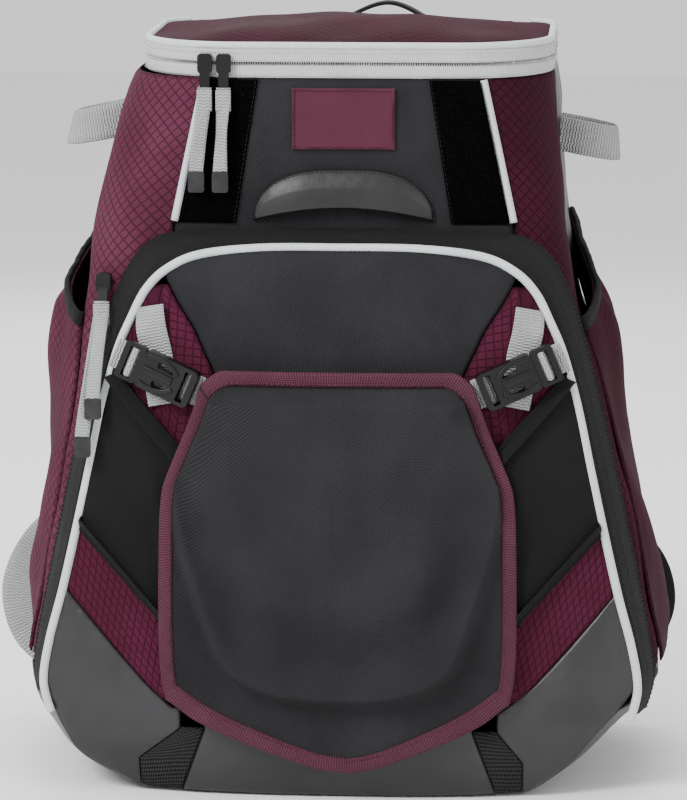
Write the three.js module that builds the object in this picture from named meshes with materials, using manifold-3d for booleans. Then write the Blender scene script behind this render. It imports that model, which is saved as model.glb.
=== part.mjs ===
// A bat backpack: a tapered main bag with a zipped lid, a front pocket under an arched zip, a moulded
// helmet flap held by two buckles, and an open bat sleeve on each side. Millimetres, +Z up, the front faces
// -Y, and the origin is the middle of the flat base.
import * as THREE from "three";
import { mergeVertices } from "three/addons/utils/BufferGeometryUtils.js";
import Module from "manifold-3d";

const wasm = await Module();
wasm.setup();

// Driving sizes.
const SEAM = 0.3; // clearance between sewn neighbours
const CURVED_SEAM = 1.4; // the same where both edges curve
const CLOTH = 2; // ripstop and ballistic panels, with their lining
const COATED = 2.4; // coated boot
const BACK_PADDING = 9;
const WEBBING = 1.6;
const WIDE_WEBBING = 25;
const NARROW_WEBBING = 19;
const PULL_WEBBING = 9;
const PIPING = 5; // across
const LID_PIPING = 4; // across

const BODY_STEPS = 8; // rows of facets up each panel
const FRONT_Y = -60; // front panel's outer face
const BACK_Y = 110; // back panel's outer face
const HALF_WIDTH = 198; // widest, near the base
const PANEL_HEIGHT = 438; // floor to the lower edge of the zip tape, at the front
const TAPE_HEIGHT = 8.2; // each of the lid's two zip tapes
const ZIP_GAP = 1.4; // between the two tapes, where the teeth are
const LID_TILT = 0.035; // the lid's plane rises towards the back
const LID_CROWN = 10;
const BACK_CORNER = 28;
const BACK_SEAM = 1.2; // clearance beside the padded back panel
const PANEL_PIPING_TOP = 86; // from the middle to the piping between the front and side panels
const PANEL_PIPING_FOOT = 106;
const RIM_END = 0.97; // the zip tapes stop just short of the back panel
const LID_INSET = LID_PIPING + 2 * CURVED_SEAM; // clear of the piping's bends

const POCKET_HEIGHT = 346; // top of the pocket's zip band
const POCKET_EDGE_Y = -99; // piping, low on the pocket
const POCKET_CENTRE_Y = -113; // middle of the pocket's face
const BOOT_HEIGHT = 70; // sides and back
const FLOOR = -5; // underside of the base: all heights here are from just above it
const BASE_ROUND = 65; // the base curves in below this
const BASE_FOOT_Y = 0.97; // how far it curves in at the front and back, as a share
const VENT_TOP = 37;
const VENT_FOOT = -1;
const BOOT_SILL = 1; // corner boots start above the base
const BOOT_CENTRE_TOP = 55;
const BOOT_LINE_INNER = 104; // where the corner boots' top edge starts, from the middle
const BOOT_LINE_OUTER = 171;
const BOOT_LINE_FOOT = 50;
const BOOT_LINE_TOP = 124;
const VENT_INNER_TOP = 84;
const VENT_INNER_FOOT = 98;
const VENT_OUTER_FOOT = { left: 124, right: 114 };
const VENT_LIMIT = 0.97; // share of the face's half width
const VENT_KNEE = 17; // height at which its outer edge turns
const VENT_EDGE = 0.9; // the base's own edge takes this much on each side of a vent's line
const BAND_FOOT = 44; // where the zip band ends
const BAND_CROWN = 3;
const ARCH_STEPS = 36;
const PANEL_PEAK = 0.93; // top of the seam between the pocket's panels, as a share of POCKET_HEIGHT
const CORNER_PEAK = 0.89; // top of the pocket's corner panels, as above

const SHIELD_TOP = 263;
const SHIELD_TIP = 13; // lowest point of its edge
const SHIELD_TIP_X = 6;
const SHIELD_SHOULDER = 57; // where its sides turn into its slanted foot
const SHIELD_HALF_WIDTH = 110.5;
const SHIELD_WALL = 4;
const SHIELD_BINDING = 9;
const BINDING_WALL = 5;
const POUCH_DEPTH = 12; // hollow between the shield and the pocket's face
const SHIELD_RELIEF = 11;
const SHIELD_CORNER_CUT = 9; // its top corners drop by this
const SHIELD_CORNER_AT = 0.86; // from this share of its half width

const RELIEF_CENTRE = 200; // height that the relief is laid out from
const GUSSET_WALL = 1.5;
const GUSSET_TOP_OUTER = 262;
const GUSSET_TOP_INNER = 215;
const GUSSET_FOOT_OUTER = 160;
const GUSSET_FOOT_INNER = 104;
const GUSSET_SLACK = 4;
const GUSSET_LAP = 2;

const BUCKLE_X = 111;
const BUCKLE_HEIGHT = 260;
const BUCKLE_LIFT = 10.5; // its middle, off the pocket's face
const BUCKLE_LENGTH = 50;
const BUCKLE_WIDTH = 24;
const BUCKLE_THICK = 8;
const LADDER_LENGTH = 14;
const LADDER_THICK = 5;
const BUCKLE_SLOPE = 0.41; // radians, down towards the middle
const BUCKLE_TURN = 0.16; // follows the face round
const BUCKLE_SLOT = 4.5; // along the buckle
const BUCKLE_SLOT_INSET = 6;
const BUCKLE_WINDOW = 12;
const BUCKLE_WINDOW_WIDTH = 4.4;
const BUCKLE_WINDOW_AT = 6.2; // each side of its middle line
const LADDER_SLOT = 6.5;
const TONGUE_LAP = 12; // webbing behind the socket
const TONGUE_SHOWING = 2;
const LADDER_LAP = 2;
const LADDER_TAIL = 6;

const PATCH_WIDTH = 64;
const PATCH_HEIGHT = 38;
const PATCH_CENTRE = 413;
const PATCH_THICK = 1.4;
const LOOP_STRIP_THICK = 1.6;
const LOOP_STRIP_FOOT = 67; // its inner edge, from the middle
const LOOP_STRIP_TOP = 53;
const COVER_HALF_WIDTH = 56; // crescent cover
const COVER_FOOT = 350;
const COVER_TOP = 382;
const COVER_STAND = 7;
const COVER_WALL = 2;
const COVER_ARCH = 8; // its lower lip rises by this in the middle

const SLIDER_WIDTH = 9;
const SLIDER_HEIGHT = 12;
const SLIDER_THICK = 5;
const TAB_LENGTH = 16;
const TAB_THICK = 2;
const PULL_LENGTH = 46;
const TIP_WIDTH = 10;
const TIP_LENGTH = 13;
const TIP_THICK = 4;
const TIP_CORNER = 1.5;
const LID_TAB_LEAN = 0.05; // radians, forward
const POCKET_TAB_LEAN = 0.75;
const POCKET_PULL_LENGTH = 74;
const POCKET_PULL_SHORT = 0.68; // the second pull, as a share of the first
const POCKET_PULL_ASIDE = -8;
const POCKET_PULL_OUT = -34;
const POCKET_SLIDER_AT = -0.36; // share of the arch from the middle of its top, on the left

const SIDE_LOOP_REACH = 37;
const SIDE_LOOP_SPAN = 30;
const SIDE_LOOP_Y = 46;
const SIDE_LOOP_HEIGHTS = { left: 405, right: 397 };
const SIDE_LOOP_WEBBING = 22;
const SIDE_LOOP_SAG = 7;
const STRAP_WIDTH = 62;
const STRAP_THICK = 11;
const STRAP_BOW = 38; // how far the straps stand off the back
const HAUL_RISE = 23;
const HAUL_SPAN = 92;
const HAUL_X = 12;
const HAUL_LAP = 12; // below the lid's edge
const LOWER_ANCHOR = 0.1; // share of PANEL_HEIGHT at which the lower webbing is sewn to the base
const LOWER_ANCHOR_REACH = 4.2; // just past the rear corner

const SLEEVE_WALL = 2.4;
const SLEEVE_FOOT = 72;
const SLEEVE_MOUTH_FRONT = 288;
const SLEEVE_MOUTH_BACK = 344;
const SLEEVE_BULGE = 32;
const SLEEVE_SET = 8; // the front seam, behind the front panel
const SLEEVE_REAR_Y = 80;
const STRIP_Y = 18; // front edge of the coated strip on each side

// Shares are of HALF_WIDTH (left, right), of the panel's height (height) and of HALF_WIDTH again (corner).
const BODY_SECTIONS = [
  { height: 0.0, left: 0.975, right: 0.975, corner: 0.04 },
  { height: 0.16, left: 1.0, right: 1.0, corner: 0.04 },
  { height: 0.25, left: 0.962, right: 0.962, corner: 0.04 },
  { height: 0.42, left: 0.892, right: 0.886, corner: 0.04 },
  { height: 0.57, left: 0.84, right: 0.8, corner: 0.05 },
  { height: 0.68, left: 0.82, right: 0.722, corner: 0.08 },
  { height: 0.79, left: 0.8, right: 0.685, corner: 0.2 },
  { height: 0.91, left: 0.74, right: 0.66, corner: 0.28 },
  { height: 1.0, left: 0.685, right: 0.65, corner: 0.31 },
  { height: 1.07, left: 0.632, right: 0.65, corner: 0.31 },
];

// Half of the arch, from the middle of its top to its foot: its piping, and the outer edge of its zip band.
// Shares are of HALF_WIDTH (pipeX, bandX) and of POCKET_HEIGHT (pipeZ, bandZ).
const ARCH = [
  { pipeX: 0.0, pipeZ: 0.971, bandX: 0.0, bandZ: 1.0 },
  { pipeX: 0.24, pipeZ: 0.97, bandX: 0.29, bandZ: 1.0 },
  { pipeX: 0.435, pipeZ: 0.958, bandX: 0.53, bandZ: 0.992 },
  { pipeX: 0.54, pipeZ: 0.932, bandX: 0.62, bandZ: 0.972 },
  { pipeX: 0.606, pipeZ: 0.895, bandX: 0.68, bandZ: 0.932 },
  { pipeX: 0.652, pipeZ: 0.844, bandX: 0.726, bandZ: 0.877 },
  { pipeX: 0.695, pipeZ: 0.786, bandX: 0.765, bandZ: 0.806 },
  { pipeX: 0.74, pipeZ: 0.694, bandX: 0.808, bandZ: 0.711 },
  { pipeX: 0.781, pipeZ: 0.584, bandX: 0.858, bandZ: 0.595 },
  { pipeX: 0.823, pipeZ: 0.474, bandX: 0.899, bandZ: 0.486 },
  { pipeX: 0.871, pipeZ: 0.355, bandX: 0.944, bandZ: 0.361 },
  { pipeX: 0.915, pipeZ: 0.26, bandX: 0.978, bandZ: 0.262 },
  { pipeX: 0.935, pipeZ: 0.185, bandX: 0.993, bandZ: 0.19 },
  { pipeX: 0.913, pipeZ: 0.128, bandX: 0.968, bandZ: 0.128 },
];

// How far the pocket stands out, as shares of POCKET_EDGE_Y (edge) and POCKET_CENTRE_Y (centre), by
// height as a share of POCKET_HEIGHT.
const POCKET_DEPTHS = [
  { height: 0.0, edge: 1.0, centre: 0.995 },
  { height: 0.3, edge: 1.0, centre: 1.0 },
  { height: 0.58, edge: 0.985, centre: 0.98 },
  { height: 0.75, edge: 0.96, centre: 0.935 },
  { height: 0.88, edge: 0.92, centre: 0.87 },
  { height: 1.0, edge: 0.88, centre: 0.79 },
];

// The seam between the pocket's middle and corner panels: x as a share of HALF_WIDTH, by height as above.
const POCKET_SEAM = [
  { height: 0.0, x: 0.36 },
  { height: 0.6, x: 0.36 },
  { height: 0.74, x: 0.385 },
  { height: 0.8, x: 0.43 },
  { height: 0.83, x: 0.455 },
  { height: 0.88, x: 0.512 },
  { height: 0.95, x: 0.575 },
];

// The shield's half width as a share of SHIELD_HALF_WIDTH, by height as a share of SHIELD_TOP.
const SHIELD_OUTLINE = [
  { height: 0.2, x: 0.955 },
  { height: 0.27, x: 0.987 },
  { height: 0.36, x: 1.0 },
  { height: 0.54, x: 0.998 },
  { height: 0.71, x: 0.98 },
  { height: 0.78, x: 0.925 },
  { height: 0.87, x: 0.835 },
  { height: 1.0, x: 0.73 },
];

// The foot of the shield: height above its tip as a share of the shoulder's, by share of the half width.
const SHIELD_FOOT = [
  { across: 0.0, rise: 0.0 },
  { across: 0.18, rise: 0.07 },
  { across: 0.54, rise: 0.38 },
  { across: 0.84, rise: 0.71 },
  { across: 1.0, rise: 1.0 },
];

// How the base narrows towards the floor, as shares of its width, by height as a share of the height that
// curves.
const BASE_NARROWING = [
  { height: 0.0, left: 0.66, right: 0.63 },
  { height: 0.1, left: 0.75, right: 0.7 },
  { height: 0.31, left: 0.89, right: 0.8 },
  { height: 0.53, left: 0.95, right: 0.87 },
  { height: 0.74, left: 0.985, right: 0.94 },
  { height: 1.0, left: 1.0, right: 1.0 },
];

// How far each sleeve stands off the bag, as shares of SLEEVE_BULGE, by height as a share of
// SLEEVE_MOUTH_BACK.
const SLEEVE_BULGES = [
  { height: 0.2, left: 0.1, right: 0.1 },
  { height: 0.32, left: 0.4, right: 0.22 },
  { height: 0.46, left: 0.46, right: 0.2 },
  { height: 0.62, left: 0.64, right: 0.16 },
  { height: 0.75, left: 0.77, right: 0.4 },
  { height: 0.84, left: 0.64, right: 0.55 },
  { height: 0.94, left: 0.24, right: 0.2 },
  { height: 1.0, left: 0.12, right: 0.1 },
];

// The shield's relief by direction from RELIEF_CENTRE: 0 is down, 1 is up. Distances are shares of
// SHIELD_HALF_WIDTH.
const SHIELD_RELIEF_RINGS = [
  { direction: 0.0, plateau: 0.67, valley: 1.04, ridge: 1.24 },
  { direction: 0.15, plateau: 0.715, valley: 1.03, ridge: 1.25 },
  { direction: 0.23, plateau: 0.69, valley: 0.93, ridge: 1.085 },
  { direction: 0.3, plateau: 0.6, valley: 0.895, ridge: 0.985 },
  { direction: 0.42, plateau: 0.54, valley: 0.88, ridge: 0.9 },
  { direction: 0.64, plateau: 0.64, valley: 0.9, ridge: 0.92 },
  { direction: 0.7, plateau: 0.78, valley: 0.95, ridge: 0.97 },
  { direction: 1.0, plateau: 1.2, valley: 1.4, ridge: 1.5 },
];

// The rim's stretches, from the middle of the front to a rear corner: front, front corner, side and rear
// corner. Each ends at a share of the way and has its own number of steps.
const RIM_STRETCHES = [
  { end: 0.24, steps: 2 },
  { end: 0.58, steps: 5 },
  { end: 0.86, steps: 1 },
  { end: 1.0, steps: 2 },
];

// The cinch strap's route from the piping down behind its buckle, from the buckle's middle. Shares are of
// NARROW_WEBBING (aside, rise) and of WEBBING (lift), and turn is its slant in radians.
const CINCH_ROUTE = [
  { aside: 0.32, rise: 2.1, lift: 2.0, turn: 1.0 },
  { aside: 0.26, rise: 1.42, lift: 3.0, turn: 0.53 },
  { aside: 0.05, rise: 0.47, lift: 1.4, turn: 0.1 },
  { aside: -0.05, rise: -0.42, lift: 1.4, turn: 0.0 },
  { aside: -0.16, rise: -1.05, lift: 1.4, turn: 0.0 },
];

// The lid's two sliders, side by side. Shares are of HALF_WIDTH (x) and of PULL_LENGTH (fall, the pull's
// drift sideways), and twist is the turn of its middle.
const LID_SLIDERS = [
  { name: "a", x: -0.434, fall: -0.109, twist: 0.4 },
  { name: "b", x: -0.374, fall: -0.043, twist: -0.9 },
];

// A side loop seen from above: out from the bag as a share of SIDE_LOOP_REACH and along it as one of
// SIDE_LOOP_SPAN.
const SIDE_LOOP_ROUTE = [
  { out: 0.0, along: -0.5 },
  { out: 0.5, along: -0.55 },
  { out: 0.97, along: -0.3 },
  { out: 0.97, along: 0.3 },
  { out: 0.5, along: 0.55 },
  { out: 0.0, along: 0.5 },
];

// The haul loop from behind: across as a share of HAUL_SPAN and up as one of HAUL_RISE.
const HAUL_ROUTE = [
  { across: -0.5, rise: 0.0 },
  { across: -0.36, rise: 0.3 },
  { across: 0.06, rise: 1.0 },
  { across: 0.4, rise: 0.36 },
  { across: 0.5, rise: 0.0 },
];

// The padded strap's route: x as a share of HALF_WIDTH, out from the back as a share of STRAP_BOW, height
// as a share of PANEL_HEIGHT, and how far its lower end turns outwards, in radians.
const STRAP_ROUTE = [
  { x: 0.22, out: 0.0, height: 0.995, turn: 0.0 },
  { x: 0.235, out: 0.06, height: 0.968, turn: 0.05 },
  { x: 0.3, out: 0.62, height: 0.9, turn: 0.1 },
  { x: 0.42, out: 1.0, height: 0.74, turn: 0.15 },
  { x: 0.49, out: 1.0, height: 0.56, turn: 0.15 },
  { x: 0.54, out: 0.76, height: 0.41, turn: 0.3 },
  { x: 0.6, out: 0.55, height: 0.325, turn: 0.6 },
];

// The webbing from each strap's end swings out past the bag and back to the base. Shares as above, and turn
// is the slant of its width, in radians.
const LOWER_ROUTES = {
  left: [
    { x: 0.8, out: 0.5, height: 0.305, turn: 1.3 },
    { x: 1.06, out: 0.35, height: 0.27, turn: 0.75 },
    { x: 1.17, out: 0.18, height: 0.185, turn: 0.0 },
    { x: 1.13, out: 0.06, height: 0.11, turn: -0.5 },
    { x: 1.0, out: 0.02, height: 0.075, turn: -1.2 },
  ],
  right: [
    { x: 0.78, out: 0.45, height: 0.29, turn: 1.2 },
    { x: 0.96, out: 0.3, height: 0.235, turn: 0.6 },
    { x: 1.0, out: 0.15, height: 0.17, turn: -0.2 },
    { x: 0.94, out: 0.03, height: 0.12, turn: -1.0 },
  ],
};

const COLOURS = {
  ripstop: 0x5a2a3c,
  ballistic: 0x2b2a2d,
  coated: 0x47464a,
  webbing: 0xc9cbcd,
  tape: 0xb9b7b9,
  piping: 0xc4cccf,
  binding: 0x6f3a50,
  moulded: 0x1c1c1e,
  mesh: 0x151516,
};
const SIDES = [
  { name: "left", sign: -1 },
  { name: "right", sign: 1 },
];

const bag = new THREE.Group();
const V = (x, y, z) => new THREE.Vector3(x, y, z);
const { lerp, clamp } = THREE.MathUtils;

// Reads one column of a table at a value of its key column, smoothly between its rows.
function read(table, key, column, at) {
  const last = table.length - 1;
  const x = clamp(at, table[0][key], table[last][key]);
  let i = 0;
  while (i < last - 1 && x > table[i + 1][key]) i += 1;
  const slope = (j) => {
    const a = table[Math.max(j - 1, 0)];
    const b = table[Math.min(j + 1, last)];
    return (b[column] - a[column]) / (b[key] - a[key]);
  };
  const width = table[i + 1][key] - table[i][key];
  const t = (x - table[i][key]) / width;
  const h = t * t * (3 - 2 * t);
  return (
    lerp(table[i][column], table[i + 1][column], h) +
    width * t * (1 - t) * (slope(i) * (1 - t) - slope(i + 1) * t)
  );
}

// One closed body from two grids of points, the outer and the inner face of a wall. grid(i, j) gives a
// point for column i and row j. A wall that closes on itself has round true, and then its last column meets
// its first.
function wall(columns, rows, outer, inner, round = false) {
  const across = round ? columns : columns + 1;
  const points = [];
  const at = (face, i, j) => face * across * (rows + 1) + (i % across) * (rows + 1) + j;
  for (const grid of [outer, inner]) {
    for (let i = 0; i < across; i += 1) {
      for (let j = 0; j <= rows; j += 1) points.push(grid(i, j));
    }
  }
  const corners = [];
  const quad = (a, b, c, d) => corners.push(a, b, c, a, c, d);
  for (let i = 0; i < columns; i += 1) {
    for (let j = 0; j < rows; j += 1) {
      quad(at(0, i, j), at(0, i + 1, j), at(0, i + 1, j + 1), at(0, i, j + 1));
      quad(at(1, i, j), at(1, i, j + 1), at(1, i + 1, j + 1), at(1, i + 1, j));
    }
    quad(at(0, i + 1, 0), at(0, i, 0), at(1, i, 0), at(1, i + 1, 0));
    quad(at(0, i, rows), at(0, i + 1, rows), at(1, i + 1, rows), at(1, i, rows));
  }
  for (let j = 0; j < rows && !round; j += 1) {
    quad(at(0, 0, j), at(0, 0, j + 1), at(1, 0, j + 1), at(1, 0, j));
    quad(at(0, columns, j + 1), at(0, columns, j), at(1, columns, j), at(1, columns, j + 1));
  }
  return closed(points, corners);
}

// A wall whose place(i, j, lift) gives both faces: the outer one as it is, and the inner one a thickness
// below.
function skin(columns, rows, place, thickness) {
  return wall(columns, rows, (i, j) => place(i, j, 0), (i, j) => place(i, j, -thickness));
}

// A geometry from points and triangles, without the triangles that have no area, turned to face outwards.
function closed(points, corners) {
  const geometry = new THREE.BufferGeometry();
  const values = points.flatMap((p) => p.toArray());
  geometry.setAttribute("position", new THREE.Float32BufferAttribute(values, 3));
  geometry.setIndex(corners);
  const merged = mergeVertices(geometry, 1e-3);
  const where = merged.getAttribute("position");
  const index = merged.index.array;
  const kept = [];
  let volume = 0;
  const [a, b, c] = [V(), V(), V()];
  for (let i = 0; i < index.length; i += 3) {
    const [p, q, r] = [index[i], index[i + 1], index[i + 2]];
    if (p === q || q === r || r === p) continue;
    kept.push(p, q, r);
    b.fromBufferAttribute(where, q).cross(c.fromBufferAttribute(where, r));
    volume += a.fromBufferAttribute(where, p).dot(b);
  }
  if (volume < 0) kept.reverse();
  merged.setIndex(kept);
  return merged;
}

// A cloth of one thickness behind a surface: surface(u, v) for u and v from 0 to 1, thickened along its
// normal to the side that inward points to.
function cloth(surface, thickness, columns, rows, inward) {
  const step = 1e-3;
  const outer = (i, j) => surface(i / columns, j / rows);
  const inner = (i, j) => {
    const [u, v] = [clamp(i / columns, step, 1 - step), clamp(j / rows, step, 1 - step)];
    const along = surface(u + step, v).sub(surface(u - step, v));
    const up = surface(u, v + step).sub(surface(u, v - step));
    const normal = along.cross(up).normalize();
    const here = outer(i, j);
    if (normal.dot(inward(here)) < 0) normal.negate();
    return here.addScaledVector(normal, thickness);
  };
  return wall(columns, rows, outer, inner);
}

// A strip of webbing along a smooth path. Each stop has a place and the direction across the strip.
function webbing(stops, width, thickness, steps) {
  const path = new THREE.CatmullRomCurve3(stops.map((s) => s.at));
  const turn = new THREE.CatmullRomCurve3(stops.map((s) => s.across));
  const corner = (i, j, face) => {
    const t = i / steps;
    const across = turn.getPoint(t).normalize();
    const normal = path.getTangent(t).cross(across).normalize();
    return path
      .getPoint(t)
      .addScaledVector(across, width * (j - 0.5))
      .addScaledVector(normal, thickness * face);
  };
  return wall(steps, 1, (i, j) => corner(i, j, 0.5), (i, j) => corner(i, j, -0.5));
}

// A round cord sewn into a seam.
function cording(points, across, steps) {
  const section = new THREE.Shape().absarc(0, 0, across / 2, 0, 2 * Math.PI);
  const path = new THREE.CatmullRomCurve3(points);
  const made = new THREE.ExtrudeGeometry(section, { steps, curveSegments: 3, extrudePath: path });
  return bare(made);
}

// A geometry with only its positions, its shared vertices merged.
function bare(geometry) {
  for (const name of ["normal", "uv"]) geometry.deleteAttribute(name);
  return mergeVertices(geometry, 1e-3);
}

// A block with rounded corners in its own x and y, centred, for moulded pieces.
function block(length, width, thickness, radius, holes = []) {
  const outline = new THREE.Shape(roundedOutline(0, 0, length, width, radius));
  for (const h of holes) {
    outline.holes.push(new THREE.Path(roundedOutline(h.x, h.y, h.length, h.width, h.radius)));
  }
  const extrusion = { depth: thickness, bevelEnabled: false, curveSegments: 2 };
  const made = new THREE.ExtrudeGeometry(outline, extrusion);
  made.translate(0, 0, -thickness / 2);
  return bare(made);
}

function roundedOutline(x, y, length, width, radius) {
  const path = new THREE.Path();
  const [l, w] = [length / 2 - radius, width / 2 - radius];
  path.absarc(x + l, y + w, radius, 0, Math.PI / 2);
  path.absarc(x - l, y + w, radius, Math.PI / 2, Math.PI);
  path.absarc(x - l, y - w, radius, Math.PI, 1.5 * Math.PI);
  path.absarc(x + l, y - w, radius, 1.5 * Math.PI, 2 * Math.PI);
  path.closePath();
  return path.getPoints(2).slice(0, -1);
}

// Joins closed geometries into one solid.
function joined(...geometries) {
  const solids = geometries.map((g) => {
    const vertProperties = g.getAttribute("position").array;
    const triVerts = new Uint32Array(g.index.array);
    return new wasm.Manifold(new wasm.Mesh({ numProp: 3, vertProperties, triVerts }));
  });
  const mesh = solids.reduce((a, b) => a.add(b)).getMesh();
  const geometry = new THREE.BufferGeometry();
  geometry.setAttribute("position", new THREE.BufferAttribute(mesh.vertProperties, 3));
  geometry.setIndex(new THREE.BufferAttribute(mesh.triVerts, 1));
  return geometry;
}

function add(name, geometry, colour, roughness = 0.85, parent = bag) {
  const material = new THREE.MeshStandardMaterial({ color: colour, roughness, metalness: 0 });
  const mesh = new THREE.Mesh(geometry, material);
  mesh.name = name;
  parent.add(mesh);
  return mesh;
}

// The main bag.
// Each height has a rounded rectangle. A run is the distance along it from the middle of the front.
function section(side, z) {
  const share = z / PANEL_HEIGHT;
  const half = HALF_WIDTH * read(BODY_SECTIONS, "height", side.name, share);
  const corner = HALF_WIDTH * read(BODY_SECTIONS, "height", "corner", share);
  const flat = half - corner;
  const bend = (Math.PI / 2) * corner;
  const flank = BACK_Y - FRONT_Y - corner - BACK_CORNER;
  const backBend = (Math.PI / 2) * BACK_CORNER;
  return { half, corner, flat, bend, flank, backBend };
}

function bodyPoint(side, run, z, lift = 0) {
  const s = section(side, z);
  const pastFlat = run - s.flat;
  const pastBend = pastFlat - s.bend;
  const pastFlank = pastBend - s.flank;
  if (pastFlat < 0) return V(side.sign * run, FRONT_Y - lift, z);
  if (pastBend < 0) {
    const a = pastFlat / s.corner;
    const r = s.corner + lift;
    return V(side.sign * (s.flat + r * Math.sin(a)), FRONT_Y + s.corner - r * Math.cos(a), z);
  }
  if (pastFlank < 0) return V(side.sign * (s.half + lift), FRONT_Y + s.corner + pastBend, z);
  const a = Math.min(pastFlank / BACK_CORNER, Math.PI / 2);
  const r = BACK_CORNER + lift;
  const beyond = Math.max(pastFlank - s.backBend, 0);
  const x = s.half - BACK_CORNER + r * Math.cos(a) - beyond;
  return V(side.sign * x, BACK_Y - BACK_CORNER + r * Math.sin(a), z);
}

const runToX = (side, x, z) => {
  const s = section(side, z);
  return x < s.flat ? x : s.flat + s.corner * Math.asin(clamp((x - s.flat) / s.corner, 0, 1));
};
const runToY = (side, y, z) => {
  const s = section(side, z);
  return s.flat + s.bend + y - FRONT_Y - s.corner;
};
const runToBack = (side, z) => {
  const s = section(side, z);
  return s.flat + s.bend + s.flank + s.backBend;
};
const tilted = (y) => LID_TILT * (y - FRONT_Y);

// How far from the middle the piping between the front panel and a side panel is, at a height.
function pipingX(z) {
  const up = clamp((z - POCKET_HEIGHT) / (PANEL_HEIGHT - POCKET_HEIGHT), 0, 1);
  return lerp(PANEL_PIPING_FOOT, PANEL_PIPING_TOP, up);
}

const panelTop = (y) => PANEL_HEIGHT + tilted(y) - SEAM;
const lidHeight = PANEL_HEIGHT + 2 * TAPE_HEIGHT + ZIP_GAP + LID_PIPING / 2;
const sideOf = (i, columns) => (2 * i < columns ? SIDES[0] : SIDES[1]);
const besidePiping = PIPING / 2 + SEAM;
const bootSeam = BOOT_HEIGHT + SEAM;

// A panel of the main bag, between two runs, from the base to the zip.
function bodyPanel(side, from, to, columns) {
  const run = (z, u) => lerp(from(z), to(z) - SEAM, u);
  const place = (i, j, lift) => {
    const u = i / columns;
    const top = panelTop(bodyPoint(side, run(PANEL_HEIGHT, u), PANEL_HEIGHT).y);
    const z = lerp(bootSeam, top, j / BODY_STEPS);
    return bodyPoint(side, run(z, u), z, lift);
  };
  return skin(columns, BODY_STEPS, place, CLOTH);
}

// The front panel runs from the base to the zip, and divides the pocket from the bag.
{
  const columns = 8;
  const place = (i, j, lift) => {
    const side = sideOf(i, columns);
    const z = lerp(FLOOR + COATED + SEAM, panelTop(FRONT_Y), j / BODY_STEPS);
    const run = Math.abs((2 * i) / columns - 1) * (runToX(side, pipingX(z), z) - besidePiping);
    return bodyPoint(side, run, z, lift);
  };
  add("front_panel", skin(columns, BODY_STEPS, place, CLOTH), COLOURS.ballistic);
}

for (const side of SIDES) {
  const front = (z) => runToX(side, pipingX(z), z) + besidePiping;
  const strip = (z) => runToY(side, STRIP_Y, z);
  const back = (z) => runToBack(side, z);
  add(`side_panel_${side.name}`, bodyPanel(side, front, strip, 9), COLOURS.ripstop);
  add(`grey_strip_${side.name}`, bodyPanel(side, strip, back, 5), COLOURS.coated, 0.45);
  const seam = [0, 0.33, 0.67, 1].map((t) => {
    const z = lerp(POCKET_HEIGHT + PIPING, PANEL_HEIGHT - PIPING, t);
    return bodyPoint(side, runToX(side, pipingX(z), z), z, -PIPING * 0.1);
  });
  add(`panel_piping_${side.name}`, cording(seam, PIPING, 6), COLOURS.piping, 0.6);
}

{
  const [columns, rows] = [8, 9];
  const lidBack = lidHeight + tilted(BACK_Y);
  const place = (i, j, lift) => {
    const side = sideOf(i, columns);
    const z = j < rows ? lerp(bootSeam, panelTop(BACK_Y), j / (rows - 1)) : lidBack;
    const x = Math.abs((2 * i) / columns - 1) * (section(side, z).half - BACK_CORNER - BACK_SEAM);
    return V(side.sign * x, BACK_Y + lift, z);
  };
  add("back_panel", skin(columns, rows, place, BACK_PADDING), COLOURS.mesh, 0.9);
}

// The lid and its zip, which runs from one rear corner round the front to the other.
function rimPoint(t, height, lift) {
  const side = t < 0 ? SIDES[0] : SIDES[1];
  const z = lidHeight;
  const place = bodyPoint(side, Math.abs(t) * RIM_END * runToBack(side, z), z, lift);
  place.z = height + tilted(place.y);
  return place;
}

const rimHalf = RIM_STRETCHES.flatMap(({ end, steps }, i) => {
  const start = i ? RIM_STRETCHES[i - 1].end : 0;
  return Array.from({ length: steps }, (_, k) => lerp(start, end, (k + 1) / steps));
});
const rimStops = [...rimHalf.map((t) => -t).reverse(), 0, ...rimHalf];

function tape(low, high) {
  const place = (i, j, lift) => rimPoint(rimStops[i], j ? high : low, lift);
  return skin(rimStops.length - 1, 1, place, CLOTH);
}

add("lid_tape_lower", tape(PANEL_HEIGHT, PANEL_HEIGHT + TAPE_HEIGHT), COLOURS.tape);
const upperTape = tape(PANEL_HEIGHT + TAPE_HEIGHT + ZIP_GAP, lidHeight - LID_PIPING / 2 - SEAM);
add("lid_tape_upper", upperTape, COLOURS.tape);
{
  const points = rimStops.map((t) => rimPoint(t, lidHeight, -LID_PIPING / 2));
  add("lid_piping", cording(points, LID_PIPING, 36), COLOURS.piping, 0.6);
}

function lidPoint(u, v, lift) {
  const side = u < 0.5 ? SIDES[0] : SIDES[1];
  const s = section(side, lidHeight);
  const y = lerp(FRONT_Y + LID_INSET, BACK_Y - BACK_PADDING - SEAM, v);
  const bend = (corner, past) => {
    const across = Math.max((corner - LID_INSET) ** 2 - Math.max(past, 0) ** 2, 0);
    return corner - Math.sqrt(across);
  };
  const front = bend(s.corner, FRONT_Y + s.corner - y);
  const back = bend(BACK_CORNER, y - BACK_Y + BACK_CORNER);
  const x = (s.half - Math.max(front, back)) * (2 * u - 1);
  const crown = LID_CROWN * (1 - (2 * u - 1) ** 2) * (1 - (2 * v - 1) ** 4);
  return V(x, y, lidHeight + tilted(y) + crown + lift);
}
{
  const [columns, rows] = [8, 10];
  const place = (i, j, lift) => lidPoint(i / columns, 0.5 - 0.5 * Math.cos((Math.PI * j) / rows), lift);
  add("lid", skin(columns, rows, place, CLOTH), COLOURS.ripstop);
}

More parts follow.
